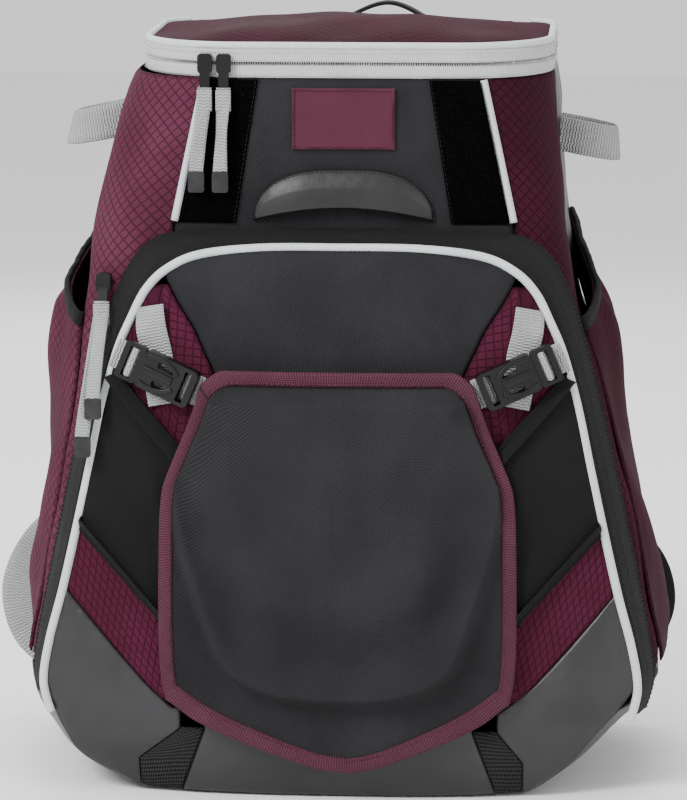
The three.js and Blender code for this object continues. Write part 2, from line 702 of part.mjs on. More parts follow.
// The front pocket.
const planar = (x, z) => new THREE.Vector2(x * HALF_WIDTH, z * POCKET_HEIGHT);
const pipeLine = new THREE.SplineCurve(ARCH.map((row) => planar(row.pipeX, row.pipeZ)));
const bandLine = new THREE.SplineCurve(ARCH.map((row) => planar(row.bandX, row.bandZ)));
const pipeSamples = pipeLine.getPoints(120);

// Half the width of the pocket's face at a height, and the height of its arch at a distance from the
// middle.
function faceHalf(z) {
  const at = Math.max(z, pipeSamples.at(-1).y);
  const i = Math.max(pipeSamples.findIndex((p) => p.y <= at), 1);
  const [a, b] = [pipeSamples[i - 1], pipeSamples[i]];
  return lerp(a.x, b.x, clamp((a.y - at) / (a.y - b.y), 0, 1));
}
function archTop(x) {
  const i = Math.max(pipeSamples.findIndex((p) => p.x >= x), 1);
  const [a, b] = [pipeSamples[i - 1], pipeSamples[i]];
  return lerp(a.y, b.y, clamp((x - a.x) / (b.x - a.x), 0, 1));
}
function pocketEdge(z) {
  return POCKET_EDGE_Y * read(POCKET_DEPTHS, "height", "edge", z / POCKET_HEIGHT);
}
function pocketY(x, z) {
  const centre = POCKET_CENTRE_Y * read(POCKET_DEPTHS, "height", "centre", z / POCKET_HEIGHT);
  return lerp(centre, pocketEdge(z), clamp(x / Math.max(faceHalf(z), 1), 0, 1) ** 3);
}

// The base curves in below BASE_ROUND, more at the sides than at the front and back.
const curved = (z) => clamp((z - FLOOR) / (BASE_ROUND - FLOOR), 0, 1);
const rounding = (z) => Math.sqrt(1 - (1 - curved(z)) ** 2);
const narrowed = (side, z) => read(BASE_NARROWING, "height", side.name, curved(z));

// The whole bag's outline low down, pocket and all: reach goes from 0 at the middle of the front to 1 at
// the piping, 2 behind the zip band, 3 at the rear corner, 4 past it and 5 at the middle of the back.
function bagPoint(side, reach, z) {
  const face = faceHalf(z);
  const s = section(side, z);
  const rear = BACK_Y - BACK_CORNER;
  let x = reach * face;
  let y = pocketY(x, z);
  if (reach > 1) {
    x = lerp(face, s.half, clamp(reach - 1, 0, 1));
    y = lerp(pocketEdge(z), FRONT_Y, clamp(reach - 1, 0, 1));
  }
  if (reach > 2) y = lerp(FRONT_Y, rear, clamp(reach - 2, 0, 1));
  if (reach > 3) {
    const a = (Math.PI / 2) * clamp(reach - 3, 0, 1);
    x = (s.half - BACK_CORNER) * clamp(5 - reach, 0, 1) + BACK_CORNER * Math.cos(a);
    y = rear + BACK_CORNER * Math.sin(a);
  }
  return V(side.sign * x * narrowed(side, z), y * lerp(BASE_FOOT_Y, 1, rounding(z)), z);
}
const facePoint = (side, x, z, lift) => {
  const p = bagPoint(side, x / (faceHalf(z) * narrowed(side, z)), z);
  return V(p.x, p.y - lift, p.z);
};

// Edges of the spacer-mesh vents, which lean outwards and down.
const between = (z, low, high) => clamp((z - low) / (high - low), 0, 1);
const ventInner = (side, z) => lerp(VENT_INNER_FOOT, VENT_INNER_TOP, between(z, VENT_FOOT, VENT_TOP));
const ventOuter = (side, z) =>
  lerp(VENT_OUTER_FOOT[side.name], VENT_INNER_FOOT, between(z, VENT_KNEE, VENT_TOP));

// The corner boots end on a line that climbs outwards. This finds its height for a point whose x follows
// its height.
function bootLine(acrossAt) {
  let z = BOOT_CENTRE_TOP;
  for (let i = 0; i < 4; i += 1) {
    const share = (acrossAt(z) - BOOT_LINE_INNER) / (BOOT_LINE_OUTER - BOOT_LINE_INNER);
    z = lerp(BOOT_LINE_FOOT, BOOT_LINE_TOP, clamp(share, 0, 1.1) ** 1.1);
  }
  return z;
}

// The base: bottom, sides, back and the middle of the front, in one piece.
{
  // Reach of a line on the pocket's face beside a vent's edge, kept short of the piping.
  const beside = (edge, gap) => (side, z) => {
    const face = faceHalf(z) * narrowed(side, z);
    return (Math.min(edge(side, z), VENT_LIMIT * face) + gap) / face;
  };
  const reach = (value) => () => value;
  const stretches = [
    { from: reach(0), to: beside(ventInner, -VENT_EDGE), top: BOOT_CENTRE_TOP, stops: [0, 0.4, 0.75, 1] },
    { from: beside(ventInner, 0), to: reach(0), top: VENT_TOP, stops: [0] },
    {
      from: beside(ventInner, VENT_EDGE),
      to: beside(ventOuter, -VENT_EDGE),
      top: VENT_FOOT - SEAM,
      stops: [0, 1],
    },
    { from: beside(ventOuter, VENT_EDGE), to: reach(1), top: BOOT_SILL - 3 * SEAM, stops: [0, 0.5, 1] },
    { from: reach(1.1), to: reach(1.1), top: BAND_FOOT / 2, stops: [0] },
    { from: reach(1), to: reach(2), top: BAND_FOOT - SEAM, stops: [0.16, 0.5, 0.96] },
    { from: reach(2), to: reach(3), top: BOOT_HEIGHT, stops: [0, 0.33, 0.67, 1] },
    { from: reach(3), to: reach(5), top: BOOT_HEIGHT, stops: [0.17, 0.33, 0.5, 0.75, 1] },
  ];
  const [left, right] = SIDES.map((side) =>
    stretches.flatMap(({ from, to, top, stops }) =>
      stops.map((t) => ({ side, top, reach: (z) => lerp(from(side, z), to(side, z), t) })),
    ),
  );
  const stations = [...right, ...left.reverse().slice(1, -1)];
  // The rows' heights: each stretch's top, and more where the base curves in. A row past its top stays there.
  const heights = [FLOOR, FLOOR + 9, FLOOR + 17, ...stretches.map(({ top }) => top)];
  const levels = [...new Set(heights)].sort((a, b) => a - b);
  const place = (i, j, inset) => {
    if (j === 0) return V(0, 0, FLOOR + inset);
    const { side, top, reach } = stations[i];
    const z = Math.min(levels[j - 1], top);
    const step = 0.02;
    const ahead = bagPoint(side, Math.min(reach(z) + step, 5), z);
    const behind = bagPoint(side, Math.max(reach(z) - step, 0), z);
    const here = bagPoint(side, reach(z), z);
    const up = bagPoint(side, reach(z), z + 1).sub(here).multiplyScalar(side.sign);
    return here.addScaledVector(ahead.sub(behind).cross(up).normalize(), -inset);
  };
  const [outer, inner] = [0, COATED].map((inset) => (i, j) => place(i, j, inset));
  const base = wall(stations.length, levels.length, outer, inner, true);
  add("base_boot", base, COLOURS.coated, 0.45);
}

const inwards = () => V(0, 1, 0);
for (const side of SIDES) {
  const corner = (u, v) => {
    const inner = (z) => (ventOuter(side, z) + CURVED_SEAM + SEAM) / (faceHalf(z) * narrowed(side, z));
    const reach = (z) => lerp(inner(z), 1 - besidePiping / faceHalf(z), u);
    const z = lerp(BOOT_SILL, bootLine((at) => reach(at) * faceHalf(at)), v);
    return bagPoint(side, reach(z), z);
  };
  add(`corner_boot_${side.name}`, cloth(corner, COATED, 6, 6, inwards), COLOURS.coated, 0.45);
  const vent = (u, v) => {
    const z = lerp(VENT_FOOT + 2 * SEAM, VENT_TOP, v);
    const inner = ventInner(side, z) + VENT_EDGE + CURVED_SEAM;
    return facePoint(side, lerp(inner, ventOuter(side, z) - SEAM, u), z, 0);
  };
  add(`vent_${side.name}`, cloth(vent, COATED, 3, 4, inwards), COLOURS.mesh);
}

const seamX = (z) => HALF_WIDTH * read(POCKET_SEAM, "height", "x", z / POCKET_HEIGHT);
{
  const panel = (u, v) => {
    const side = u < 0.5 ? SIDES[0] : SIDES[1];
    const across = Math.abs(2 * u - 1);
    const top = archTop(across * seamX(POCKET_HEIGHT * PANEL_PEAK)) - besidePiping - SEAM;
    const z = lerp(BOOT_CENTRE_TOP + SEAM, top, Math.sin((Math.PI / 2) * v));
    return facePoint(side, across * (seamX(z) - 1.5 * CURVED_SEAM), z, 0);
  };
  add("pocket_panel", cloth(panel, CLOTH, 10, 8, inwards), COLOURS.ballistic);
}
for (const side of SIDES) {
  const panel = (u, v) => {
    const acrossAt = (z) => lerp(seamX(z), Math.max(faceHalf(z) - besidePiping, seamX(z) + CLOTH), u);
    const foot = Math.max(bootLine(acrossAt), BOOT_CENTRE_TOP) + 4 * SEAM;
    const z = lerp(foot, POCKET_HEIGHT * CORNER_PEAK, v);
    return facePoint(side, acrossAt(z), z, 0);
  };
  add(`pocket_corner_${side.name}`, cloth(panel, CLOTH, 6, 9, inwards), COLOURS.ripstop);
}

// The zip band slopes from the main bag out to the piping round the pocket's face.
function archPlace(line, t, y) {
  const p = line.getPoint(Math.abs(t));
  return V(Math.sign(t) * p.x, y, p.y);
}
{
  const band = (u, v) => {
    const t = 2 * u - 1;
    const inner = archPlace(pipeLine, t, 0);
    inner.y = pocketEdge(inner.z);
    const outer = archPlace(bandLine, t, FRONT_Y - SEAM - CLOTH);
    const out = outer.clone().sub(inner).normalize();
    const crown = V(0, -BAND_CROWN * Math.sin(Math.PI * v), 0);
    return inner.addScaledVector(out, besidePiping).lerp(outer, v).add(crown);
  };
  const towardsMiddle = (p) => V(-p.x, 0, POCKET_HEIGHT / 2 - p.z);
  add("pocket_band", cloth(band, CLOTH, ARCH_STEPS, 3, towardsMiddle), COLOURS.moulded);
  const seam = [];
  for (let i = 0; i <= ARCH_STEPS; i += 1) {
    const p = archPlace(pipeLine, (2 * i) / ARCH_STEPS - 1, 0);
    seam.push(p.setY(pocketEdge(p.z)));
  }
  add("pocket_piping", cording(seam, PIPING, 44), COLOURS.piping, 0.6);
}

// The helmet flap: a moulded shield, bound at its edge, that stands off the pocket's face.
function pouchGap(u, v) {
  return POUCH_DEPTH * lerp(0.5, 1, v) * (1 - 0.3 * u * u);
}
function relief(x, z) {
  const direction = Math.atan2(Math.abs(x), RELIEF_CENTRE - z) / Math.PI;
  const r = Math.hypot(x, RELIEF_CENTRE - z) / SHIELD_HALF_WIDTH;
  const at = (column) => read(SHIELD_RELIEF_RINGS, "direction", column, direction);
  const [plateau, valley, ridge] = [at("plateau"), at("valley"), at("ridge")];
  const low = 0.3;
  const rim = low + 0.45 * clamp((ridge - valley) / 0.15, 0, 1);
  const smooth = THREE.MathUtils.smoothstep;
  if (r < valley) return lerp(1, low, smooth(r, plateau, valley));
  if (r < ridge) return lerp(low, rim, smooth(r, valley, ridge));
  return lerp(rim, 0, smooth(r, ridge, ridge + 0.08));
}
// u runs from -1 to 1 across and v from 0 to 1 up the shield. An inset keeps away from its edge.
function shieldPoint(u, v, inset, raised) {
  const across = Math.abs(u);
  const rise = read(SHIELD_FOOT, "across", "rise", across);
  const foot = lerp(SHIELD_TIP, SHIELD_SHOULDER, rise) + inset * 1.1;
  const cut = SHIELD_CORNER_CUT * between(across, SHIELD_CORNER_AT, 1) ** 2;
  const z = lerp(foot, SHIELD_TOP - inset - cut, v);
  const x = across * (SHIELD_HALF_WIDTH * read(SHIELD_OUTLINE, "height", "x", z / SHIELD_TOP) - inset);
  const fade = clamp((SHIELD_TOP - SHIELD_BINDING - z) / SHIELD_BINDING, 0, 1);
  const lift = pouchGap(u, v) + SHIELD_WALL + raised * SHIELD_RELIEF * relief(x, z) * fade;
  const aside = SHIELD_TIP_X * (1 - across) * (1 - v) ** 3;
  return V(Math.sign(u) * x + aside, pocketY(x, Math.max(z, BASE_ROUND)) - lift, z);
}
{
  const inset = SHIELD_BINDING + SEAM;
  const face = (u, v) => shieldPoint(2 * u - 1, v, inset, 1);
  const [columns, rows] = [12, 11];
  const back = (i, j) => face(i / columns, j / rows).add(V(0, SHIELD_WALL, 0));
  add("shield", wall(columns, rows, (i, j) => face(i / columns, j / rows), back), COLOURS.ballistic);

  const edge = [];
  for (let i = 0; i < columns; i += 1) edge.push([(2 * i) / columns - 1, 1]);
  for (let i = 0; i < rows; i += 1) edge.push([1, 1 - i / rows]);
  for (let i = 0; i < columns; i += 1) edge.push([1 - (2 * i) / columns, 0]);
  for (let i = 0; i < rows; i += 1) edge.push([-1, i / rows]);
  const ring = (i, j, lift) => {
    const [u, v] = edge[i % edge.length];
    return shieldPoint(u, v, j * SHIELD_BINDING, 0).add(V(0, -lift, 0));
  };
  const proud = (BINDING_WALL - SHIELD_WALL) / 2;
  const front = (i, j) => ring(i, j, proud);
  const behind = (i, j) => ring(i, j, proud - BINDING_WALL);
  add("shield_binding", wall(edge.length, 1, front, behind, true), COLOURS.binding);
}

// Each stretch gusset closes one side of the pouch, from the piping to the back of the shield's binding.
for (const side of SIDES) {
  const gusset = (u, v) => {
    const outerZ = lerp(GUSSET_FOOT_OUTER, GUSSET_TOP_OUTER, v);
    const innerZ = lerp(GUSSET_FOOT_INNER, GUSSET_TOP_INNER, v);
    const z = lerp(outerZ, innerZ, u);
    const shieldX = SHIELD_HALF_WIDTH * read(SHIELD_OUTLINE, "height", "x", innerZ / SHIELD_TOP);
    const x = lerp(faceHalf(outerZ) - besidePiping - CURVED_SEAM, shieldX - GUSSET_LAP, u);
    const behind = pouchGap(1, (innerZ - SHIELD_SHOULDER) / (SHIELD_TOP - SHIELD_SHOULDER)) - 3 * SEAM;
    const lift = lerp(GUSSET_WALL + 2 * SEAM, behind, u ** 2) + GUSSET_SLACK * Math.sin(Math.PI * u) * v;
    return facePoint(side, x, z, lift);
  };
  add(`gusset_${side.name}`, cloth(gusset, GUSSET_WALL, 5, 5, inwards), COLOURS.moulded);
}

// Side-release buckles: the ladder half outside, the slotted half next to the shield.
for (const side of SIDES) {
  const buckle = new THREE.Group();
  const place = facePoint(side, BUCKLE_X, BUCKLE_HEIGHT, BUCKLE_LIFT);
  const inward = -side.sign;
  const along = V(inward * Math.cos(BUCKLE_SLOPE), -Math.sin(BUCKLE_TURN), -Math.sin(BUCKLE_SLOPE));
  along.normalize();
  const out = V(-inward * Math.sin(BUCKLE_TURN), -1, 0);
  const width = out.clone().cross(along).normalize();
  const normal = along.clone().cross(width).normalize();
  buckle.matrixAutoUpdate = false;
  buckle.matrix.makeBasis(along, width, normal).setPosition(place);
  bag.add(buckle);

  const end = BUCKLE_LENGTH / 2;
  const bodyLength = BUCKLE_LENGTH - LADDER_LENGTH - SEAM;
  const slotAt = (x, length) => ({ x, y: 0, length, width: NARROW_WEBBING + 2 * SEAM, radius: 0.8 });
  const slot = slotAt(bodyLength / 2 - BUCKLE_SLOT_INSET, BUCKLE_SLOT);
  const window = (y) => ({ x: -2, y, length: BUCKLE_WINDOW, width: BUCKLE_WINDOW_WIDTH, radius: 2 });
  const windows = [window(BUCKLE_WINDOW_AT), window(-BUCKLE_WINDOW_AT)];
  const socket = block(bodyLength, BUCKLE_WIDTH, BUCKLE_THICK, 3, [slot, ...windows]);
  socket.translate(end - bodyLength / 2, 0, 0);
  add(`buckle_socket_${side.name}`, socket, COLOURS.moulded, 0.35, buckle);
  const plug = block(LADDER_LENGTH, BUCKLE_WIDTH, LADDER_THICK, 2, [slotAt(0, LADDER_SLOT)]);
  plug.translate(LADDER_LENGTH / 2 - end, 0, 0);
  add(`buckle_plug_${side.name}`, plug, COLOURS.moulded, 0.35, buckle);

  // Straight webbing behind each half, from one distance along the buckle to another.
  const behind = (from, to, thick) => {
    const z = -thick / 2 - WEBBING / 2 - 2 * SEAM;
    const stops = [from, to].map((x) => ({ at: V(x, 0, z).applyMatrix4(buckle.matrix), across: width }));
    return webbing(stops, NARROW_WEBBING, WEBBING, 3);
  };
  const tongue = behind(end - TONGUE_LAP, end + TONGUE_SHOWING, BUCKLE_THICK);
  add(`buckle_webbing_${side.name}`, tongue, COLOURS.webbing);
  const tail = behind(LADDER_LENGTH - end - LADDER_LAP, -end - LADDER_TAIL, LADDER_THICK);
  add(`ladder_webbing_${side.name}`, tail, COLOURS.webbing);

  const strap = CINCH_ROUTE.map(({ aside, rise, lift, turn }) => {
    const x = BUCKLE_X + NARROW_WEBBING * aside;
    const at = facePoint(side, x, BUCKLE_HEIGHT + NARROW_WEBBING * rise, lift * WEBBING);
    return { at, across: V(-side.sign * Math.cos(turn), 0, Math.sin(turn)) };
  });
  add(`cinch_strap_${side.name}`, webbing(strap, NARROW_WEBBING, WEBBING, 8), COLOURS.webbing);
}

// What is sewn onto the upper front.
{
  const patch = block(PATCH_WIDTH, PATCH_HEIGHT, PATCH_THICK, 1.2);
  const mesh = add("patch", patch, COLOURS.binding);
  mesh.rotation.x = Math.PI / 2;
  mesh.position.set(0, FRONT_Y - SEAM - PATCH_THICK / 2, PATCH_CENTRE);

  const cover = (u, v) => {
    const across = 2 * u - 1;
    const top = lerp(COVER_FOOT, COVER_TOP, Math.sqrt(1 - Math.abs(across) ** 3));
    const lip = COVER_FOOT + COVER_ARCH * (1 - across ** 2);
    const z = lerp(Math.min(lip, top - 1), top, v);
    const stand = COVER_STAND * Math.cos((Math.PI / 2) * v) ** 0.6 * (1 - across ** 4);
    return V(across * COVER_HALF_WIDTH, FRONT_Y - SEAM - COVER_WALL - stand, z);
  };
  const [columns, rows] = [10, 4];
  const outer = (i, j) => cover(i / columns, j / rows);
  const back = (i, j) => outer(i, j).add(V(0, COVER_WALL, 0));
  add("crescent_cover", wall(columns, rows, outer, back), COLOURS.coated, 0.4);
}
for (const side of SIDES) {
  const rows = 6;
  const place = (i, j, lift) => {
    const z = lerp(POCKET_HEIGHT + 2 * CLOTH, PANEL_HEIGHT - CLOTH, j / rows);
    const inner = lerp(LOOP_STRIP_FOOT, LOOP_STRIP_TOP, j / rows);
    const outer = pipingX(z) - besidePiping - CURVED_SEAM;
    return V(side.sign * lerp(inner, outer, i), FRONT_Y - SEAM - LOOP_STRIP_THICK - lift, z);
  };
  add(`loop_strip_${side.name}`, skin(1, rows, place, LOOP_STRIP_THICK), COLOURS.moulded, 1);
}

// Zip sliders with their tabs, webbing pulls and rubber tips. A tab hangs from the slider's lower end and
// leans forward by an angle. The returned place is just below its end.
function slider(name, place, lean) {
  const body = block(SLIDER_WIDTH, SLIDER_HEIGHT, SLIDER_THICK, SLIDER_THICK * 0.4);
  const tab = block(SLIDER_WIDTH * 0.7, TAB_LENGTH, TAB_THICK, TAB_THICK * 0.75);
  tab.translate(0, -TAB_LENGTH / 2, 0);
  tab.rotateX(-lean);
  const hinge = V(0, -SLIDER_HEIGHT / 4, (SLIDER_THICK - TAB_THICK) / 2);
  tab.translate(hinge.x, hinge.y, hinge.z);
  const mesh = add(name, joined(body, tab), COLOURS.moulded, 0.3);
  mesh.rotation.x = Math.PI / 2;
  mesh.position.copy(place);
  const reach = TAB_LENGTH + TAB_THICK / 4 + SEAM;
  const end = V(0, -hinge.z - reach * Math.sin(lean), hinge.y - reach * Math.cos(lean));
  return end.add(place);
}
function pull(name, top, foot, twist) {
  const middle = top.clone().lerp(foot, 0.5).add(V(0, -2, 0));
  const across = V(1, twist, 0);
  const stops = [top, middle, foot].map((at, i) => ({ at, across: i === 1 ? across : V(1, 0, 0) }));
  add(name, webbing(stops, PULL_WEBBING, WEBBING, 6), COLOURS.webbing);
  const tip = add(`${name}_tip`, block(TIP_WIDTH, TIP_LENGTH, TIP_THICK, TIP_CORNER), COLOURS.moulded, 0.6);
  tip.rotation.x = Math.PI / 2;
  tip.position.copy(foot).add(V(0, 0, -TIP_LENGTH / 2 - 2 * SEAM));
}
{
  const zipHeight = PANEL_HEIGHT + TAPE_HEIGHT + ZIP_GAP / 2;
  for (const s of LID_SLIDERS) {
    const x = s.x * HALF_WIDTH;
    const run = runToX(SIDES[0], Math.abs(x) - SLIDER_WIDTH / 2, lidHeight);
    const y = bodyPoint(SIDES[0], run, lidHeight).y - SEAM - SLIDER_THICK / 2;
    const hang = slider(`lid_slider_${s.name}`, V(x, y, zipHeight), LID_TAB_LEAN);
    const foot = V(hang.x + s.fall * PULL_LENGTH, FRONT_Y - 2 * TIP_THICK, hang.z - PULL_LENGTH);
    pull(`lid_pull_${s.name}`, hang, foot, s.twist);
  }
  const inner = archPlace(pipeLine, POCKET_SLIDER_AT, 0);
  inner.y = pocketEdge(inner.z);
  const outer = archPlace(bandLine, POCKET_SLIDER_AT, FRONT_Y);
  const place = outer.add(V(-SLIDER_WIDTH, SEAM - SLIDER_THICK / 2, 0));
  const hang = slider("pocket_slider", place, POCKET_TAB_LEAN);
  const fall = V(POCKET_PULL_ASIDE, POCKET_PULL_OUT, -POCKET_PULL_LENGTH);
  pull("pocket_pull_a", hang, hang.clone().add(fall), 0.5);
  const second = hang.clone().add(V(1, -WEBBING - 2 * SEAM, 0));
  const foot = second.clone().addScaledVector(fall, POCKET_PULL_SHORT).add(V(3, -2 * TIP_THICK, 0));
  pull("pocket_pull_b", second, foot, -0.3);
}

// Bat sleeves: open-topped cloth on each side, whose mouths climb towards the back.
for (const side of SIDES) {
  const sleeve = (u, v, lift) => {
    const mouth = lerp(SLEEVE_MOUTH_FRONT, SLEEVE_MOUTH_BACK, u);
    const z = lerp(SLEEVE_FOOT, mouth, v);
    const s = section(side, z);
    const front = s.flat + s.corner * Math.acos(Math.max(1 - SLEEVE_SET / s.corner, 0));
    const run = lerp(front, runToY(side, SLEEVE_REAR_Y, z), u);
    const bulge = SLEEVE_BULGE * read(SLEEVE_BULGES, "height", side.name, z / SLEEVE_MOUTH_BACK);
    const off = bulge * Math.sin(Math.PI * u) ** 0.8;
    return bodyPoint(side, run, z, off + lift);
  };
  const [columns, rows] = [8, 8];
  const outer = (i, j) => sleeve(i / columns, j / rows, 3 * SEAM + SLEEVE_WALL);
  const back = (i, j) => sleeve(i / columns, j / rows, 3 * SEAM);
  add(`bat_sleeve_${side.name}`, wall(columns, rows, outer, back), COLOURS.ripstop);

  const height = SIDE_LOOP_HEIGHTS[side.name];
  const under = section(side, height - SIDE_LOOP_WEBBING / 2).half;
  const slope = (under - section(side, height + SIDE_LOOP_WEBBING / 2).half) / SIDE_LOOP_WEBBING;
  const root = section(side, height).half + 2 * SEAM;
  const loop = SIDE_LOOP_ROUTE.map(({ out, along }) => ({
    at: V(
      side.sign * (root + SIDE_LOOP_REACH * out),
      SIDE_LOOP_Y + SIDE_LOOP_SPAN * along,
      height - SIDE_LOOP_SAG * out,
    ),
    across: V(-slope * side.sign, 0, 1),
  }));
  add(`side_loop_${side.name}`, webbing(loop, SIDE_LOOP_WEBBING, WEBBING, 12), COLOURS.webbing);
}

// Harness: padded shoulder straps, the webbing that ties them to the base, and the haul loop.
for (const side of SIDES) {
  const place = (p, thickness) => {
    const y = BACK_Y + SEAM + thickness / 2 + p.out * STRAP_BOW;
    return V(side.sign * p.x * HALF_WIDTH, y, p.height * PANEL_HEIGHT);
  };
  const padded = STRAP_ROUTE.map((p) => ({
    at: place(p, STRAP_THICK),
    across: V(Math.cos(p.turn), 0, side.sign * Math.sin(p.turn)),
  }));
  add(`shoulder_strap_${side.name}`, webbing(padded, STRAP_WIDTH, STRAP_THICK, 14), COLOURS.mesh);

  // The webbing leaves the strap's lower end in the direction that the strap ends in.
  const [before, last] = padded.slice(-2);
  const heading = last.at.clone().sub(before.at).normalize();
  const start = last.at.clone().addScaledVector(heading, 2 * SEAM);
  const sewn = V(0, WEBBING / 2 + 2 * SEAM, 0);
  const anchor = bagPoint(side, LOWER_ANCHOR_REACH, LOWER_ANCHOR * PANEL_HEIGHT).add(sewn);
  const turned = (turn) => V(Math.cos(turn), 0, side.sign * Math.sin(turn));
  const stops = [
    { at: start, across: last.across.clone() },
    ...LOWER_ROUTES[side.name].map((p) => ({ at: place(p, WEBBING), across: turned(p.turn) })),
    { at: anchor.clone().add(V(side.sign * WIDE_WEBBING, 0, 0)), across: turned(-Math.PI / 2) },
    { at: anchor, across: turned(-Math.PI / 2) },
  ];
  const colour = side.sign < 0 ? COLOURS.webbing : COLOURS.moulded;
  add(`lower_webbing_${side.name}`, webbing(stops, WIDE_WEBBING, WEBBING, 20), colour);
}
{
  const foot = lidHeight + tilted(BACK_Y) - HAUL_LAP;
  const y = BACK_Y + SEAM + NARROW_WEBBING / 2;
  const stops = HAUL_ROUTE.map(({ across, rise }) => ({
    at: V(HAUL_X + HAUL_SPAN * across, y, foot + HAUL_RISE * rise),
    across: V(0, 1, 0),
  }));
  add("haul_loop", webbing(stops, NARROW_WEBBING, WEBBING * 1.5, 12), COLOURS.moulded);
}

bag.position.z = -FLOOR;
export default bag;
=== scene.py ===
# %% [markdown]
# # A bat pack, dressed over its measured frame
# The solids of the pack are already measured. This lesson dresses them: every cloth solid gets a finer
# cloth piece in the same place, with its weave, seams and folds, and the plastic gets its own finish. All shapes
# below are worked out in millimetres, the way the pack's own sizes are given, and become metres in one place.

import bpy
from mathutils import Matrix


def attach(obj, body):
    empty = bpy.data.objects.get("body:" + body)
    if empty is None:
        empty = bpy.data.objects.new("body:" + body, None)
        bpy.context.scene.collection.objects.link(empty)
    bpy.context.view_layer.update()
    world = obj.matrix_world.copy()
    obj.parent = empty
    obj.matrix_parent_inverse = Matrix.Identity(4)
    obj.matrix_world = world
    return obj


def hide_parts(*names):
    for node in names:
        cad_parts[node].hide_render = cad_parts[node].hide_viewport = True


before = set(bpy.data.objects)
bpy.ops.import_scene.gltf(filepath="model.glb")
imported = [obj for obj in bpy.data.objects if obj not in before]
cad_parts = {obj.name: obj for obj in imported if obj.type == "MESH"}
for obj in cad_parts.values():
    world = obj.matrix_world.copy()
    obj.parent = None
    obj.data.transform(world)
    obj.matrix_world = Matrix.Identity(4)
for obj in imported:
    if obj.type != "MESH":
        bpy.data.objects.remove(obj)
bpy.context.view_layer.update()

import math

import bmesh
import bpy
import numpy as np

MM = 0.001
print("frame nodes:", len(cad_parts))

# %% [markdown]
# ## Camera
# The photograph is taken from a little above and a little to the right, with a long lens. A long lens flattens the
# pack, so the camera stands 2.6 m away and its lens is narrow. The lens follows from the picture's height in pixels.

# %% Camera
PICTURE_HEIGHT = 800
PIXEL = 0.64  # millimetres of pack in one pixel, at the middle of the pack
DISTANCE = 2600.0
TURN, TILT = math.radians(4.0), math.radians(8.8)
TARGET = np.array([-4.2, 0.0, 232.7])

back = np.array([math.sin(TURN) * math.cos(TILT), -math.cos(TURN) * math.cos(TILT), math.sin(TILT)])
lens = bpy.data.cameras.new("camera")
lens.sensor_width = 36
lens.lens = 36 * DISTANCE / PIXEL / PICTURE_HEIGHT
lens.clip_end = 50
camera = bpy.data.objects.new("camera", lens)
camera.location = (TARGET + DISTANCE * back) * MM
camera.rotation_euler = (math.pi / 2 - TILT, 0, TURN)
bpy.context.scene.collection.objects.link(camera)
bpy.context.scene.camera = camera
print("lens", round(lens.lens, 1), "mm")

# %% [markdown]
# ## Sizes
# These are the pack's own sizes. A dressed piece can only sit where its solid sits if both come from the same
# numbers, so the lesson repeats them. Tables are read smoothly between their rows.

# %% Sizes
SEAM, PIPING, LID_PIPING, WEBBING = 0.3, 5.0, 4.0, 1.6
FRONT_Y, BACK_Y, HALF_WIDTH, PANEL_HEIGHT = -60.0, 110.0, 198.0, 438.0
TAPE_HEIGHT, ZIP_GAP, LID_TILT, LID_CROWN, BACK_CORNER = 8.2, 1.4, 0.035, 10.0, 28.0
LID_HEIGHT = PANEL_HEIGHT + 2 * TAPE_HEIGHT + ZIP_GAP + LID_PIPING / 2
POCKET_HEIGHT, POCKET_EDGE_Y, POCKET_CENTRE_Y = 346.0, -99.0, -113.0
BOOT_HEIGHT, FLOOR, BASE_ROUND, BOOT_CENTRE_TOP, BAND_FOOT = 70.0, -5.0, 65.0, 55.0, 44.0
VENT_TOP, VENT_FOOT, VENT_KNEE = 37.0, -1.0, 17.0
SHIELD_TOP, SHIELD_TIP, SHIELD_TIP_X, SHIELD_SHOULDER, SHIELD_HALF = 263.0, 13.0, 6.0, 57.0, 110.5
BINDING, SHIELD_WALL, POUCH_DEPTH, RELIEF, RELIEF_CENTRE = 9.0, 4.0, 12.0, 11.0, 200.0

BODY = {
    "height": (0, 0.16, 0.25, 0.42, 0.57, 0.68, 0.79, 0.91, 1, 1.07),
    "left": (0.975, 1, 0.962, 0.892, 0.84, 0.82, 0.8, 0.74, 0.685, 0.632),
    "right": (0.975, 1, 0.962, 0.886, 0.8, 0.722, 0.685, 0.66, 0.65, 0.65),
    "corner": (0.04, 0.04, 0.04, 0.04, 0.05, 0.08, 0.2, 0.28, 0.31, 0.31),
}
ARCH = {
    "pipe_x": (0, 0.24, 0.435, 0.54, 0.606, 0.652, 0.695, 0.74, 0.781, 0.823, 0.871, 0.915, 0.935, 0.913),
    "pipe_z": (0.971, 0.97, 0.958, 0.932, 0.895, 0.844, 0.786, 0.694, 0.584, 0.474, 0.355, 0.26, 0.185, 0.128),
    "band_x": (0, 0.29, 0.53, 0.62, 0.68, 0.726, 0.765, 0.808, 0.858, 0.899, 0.944, 0.978, 0.993, 0.968),
    "band_z": (1, 1, 0.992, 0.972, 0.932, 0.877, 0.806, 0.711, 0.595, 0.486, 0.361, 0.262, 0.19, 0.128),
}
POCKET_DEPTHS = {
    "height": (0, 0.3, 0.58, 0.75, 0.88, 1),
    "edge": (1, 1, 0.985, 0.96, 0.92, 0.88),
    "centre": (0.995, 1, 0.98, 0.935, 0.87, 0.79),
}
POCKET_SEAM = {"height": (0, 0.6, 0.74, 0.8, 0.83, 0.88, 0.95), "x": (0.36, 0.36, 0.385, 0.43, 0.455, 0.512, 0.575)}
SHIELD_OUTLINE = {
    "height": (0.2, 0.27, 0.36, 0.54, 0.71, 0.78, 0.87, 1),
    "x": (0.955, 0.987, 1, 0.998, 0.98, 0.925, 0.835, 0.73),
}
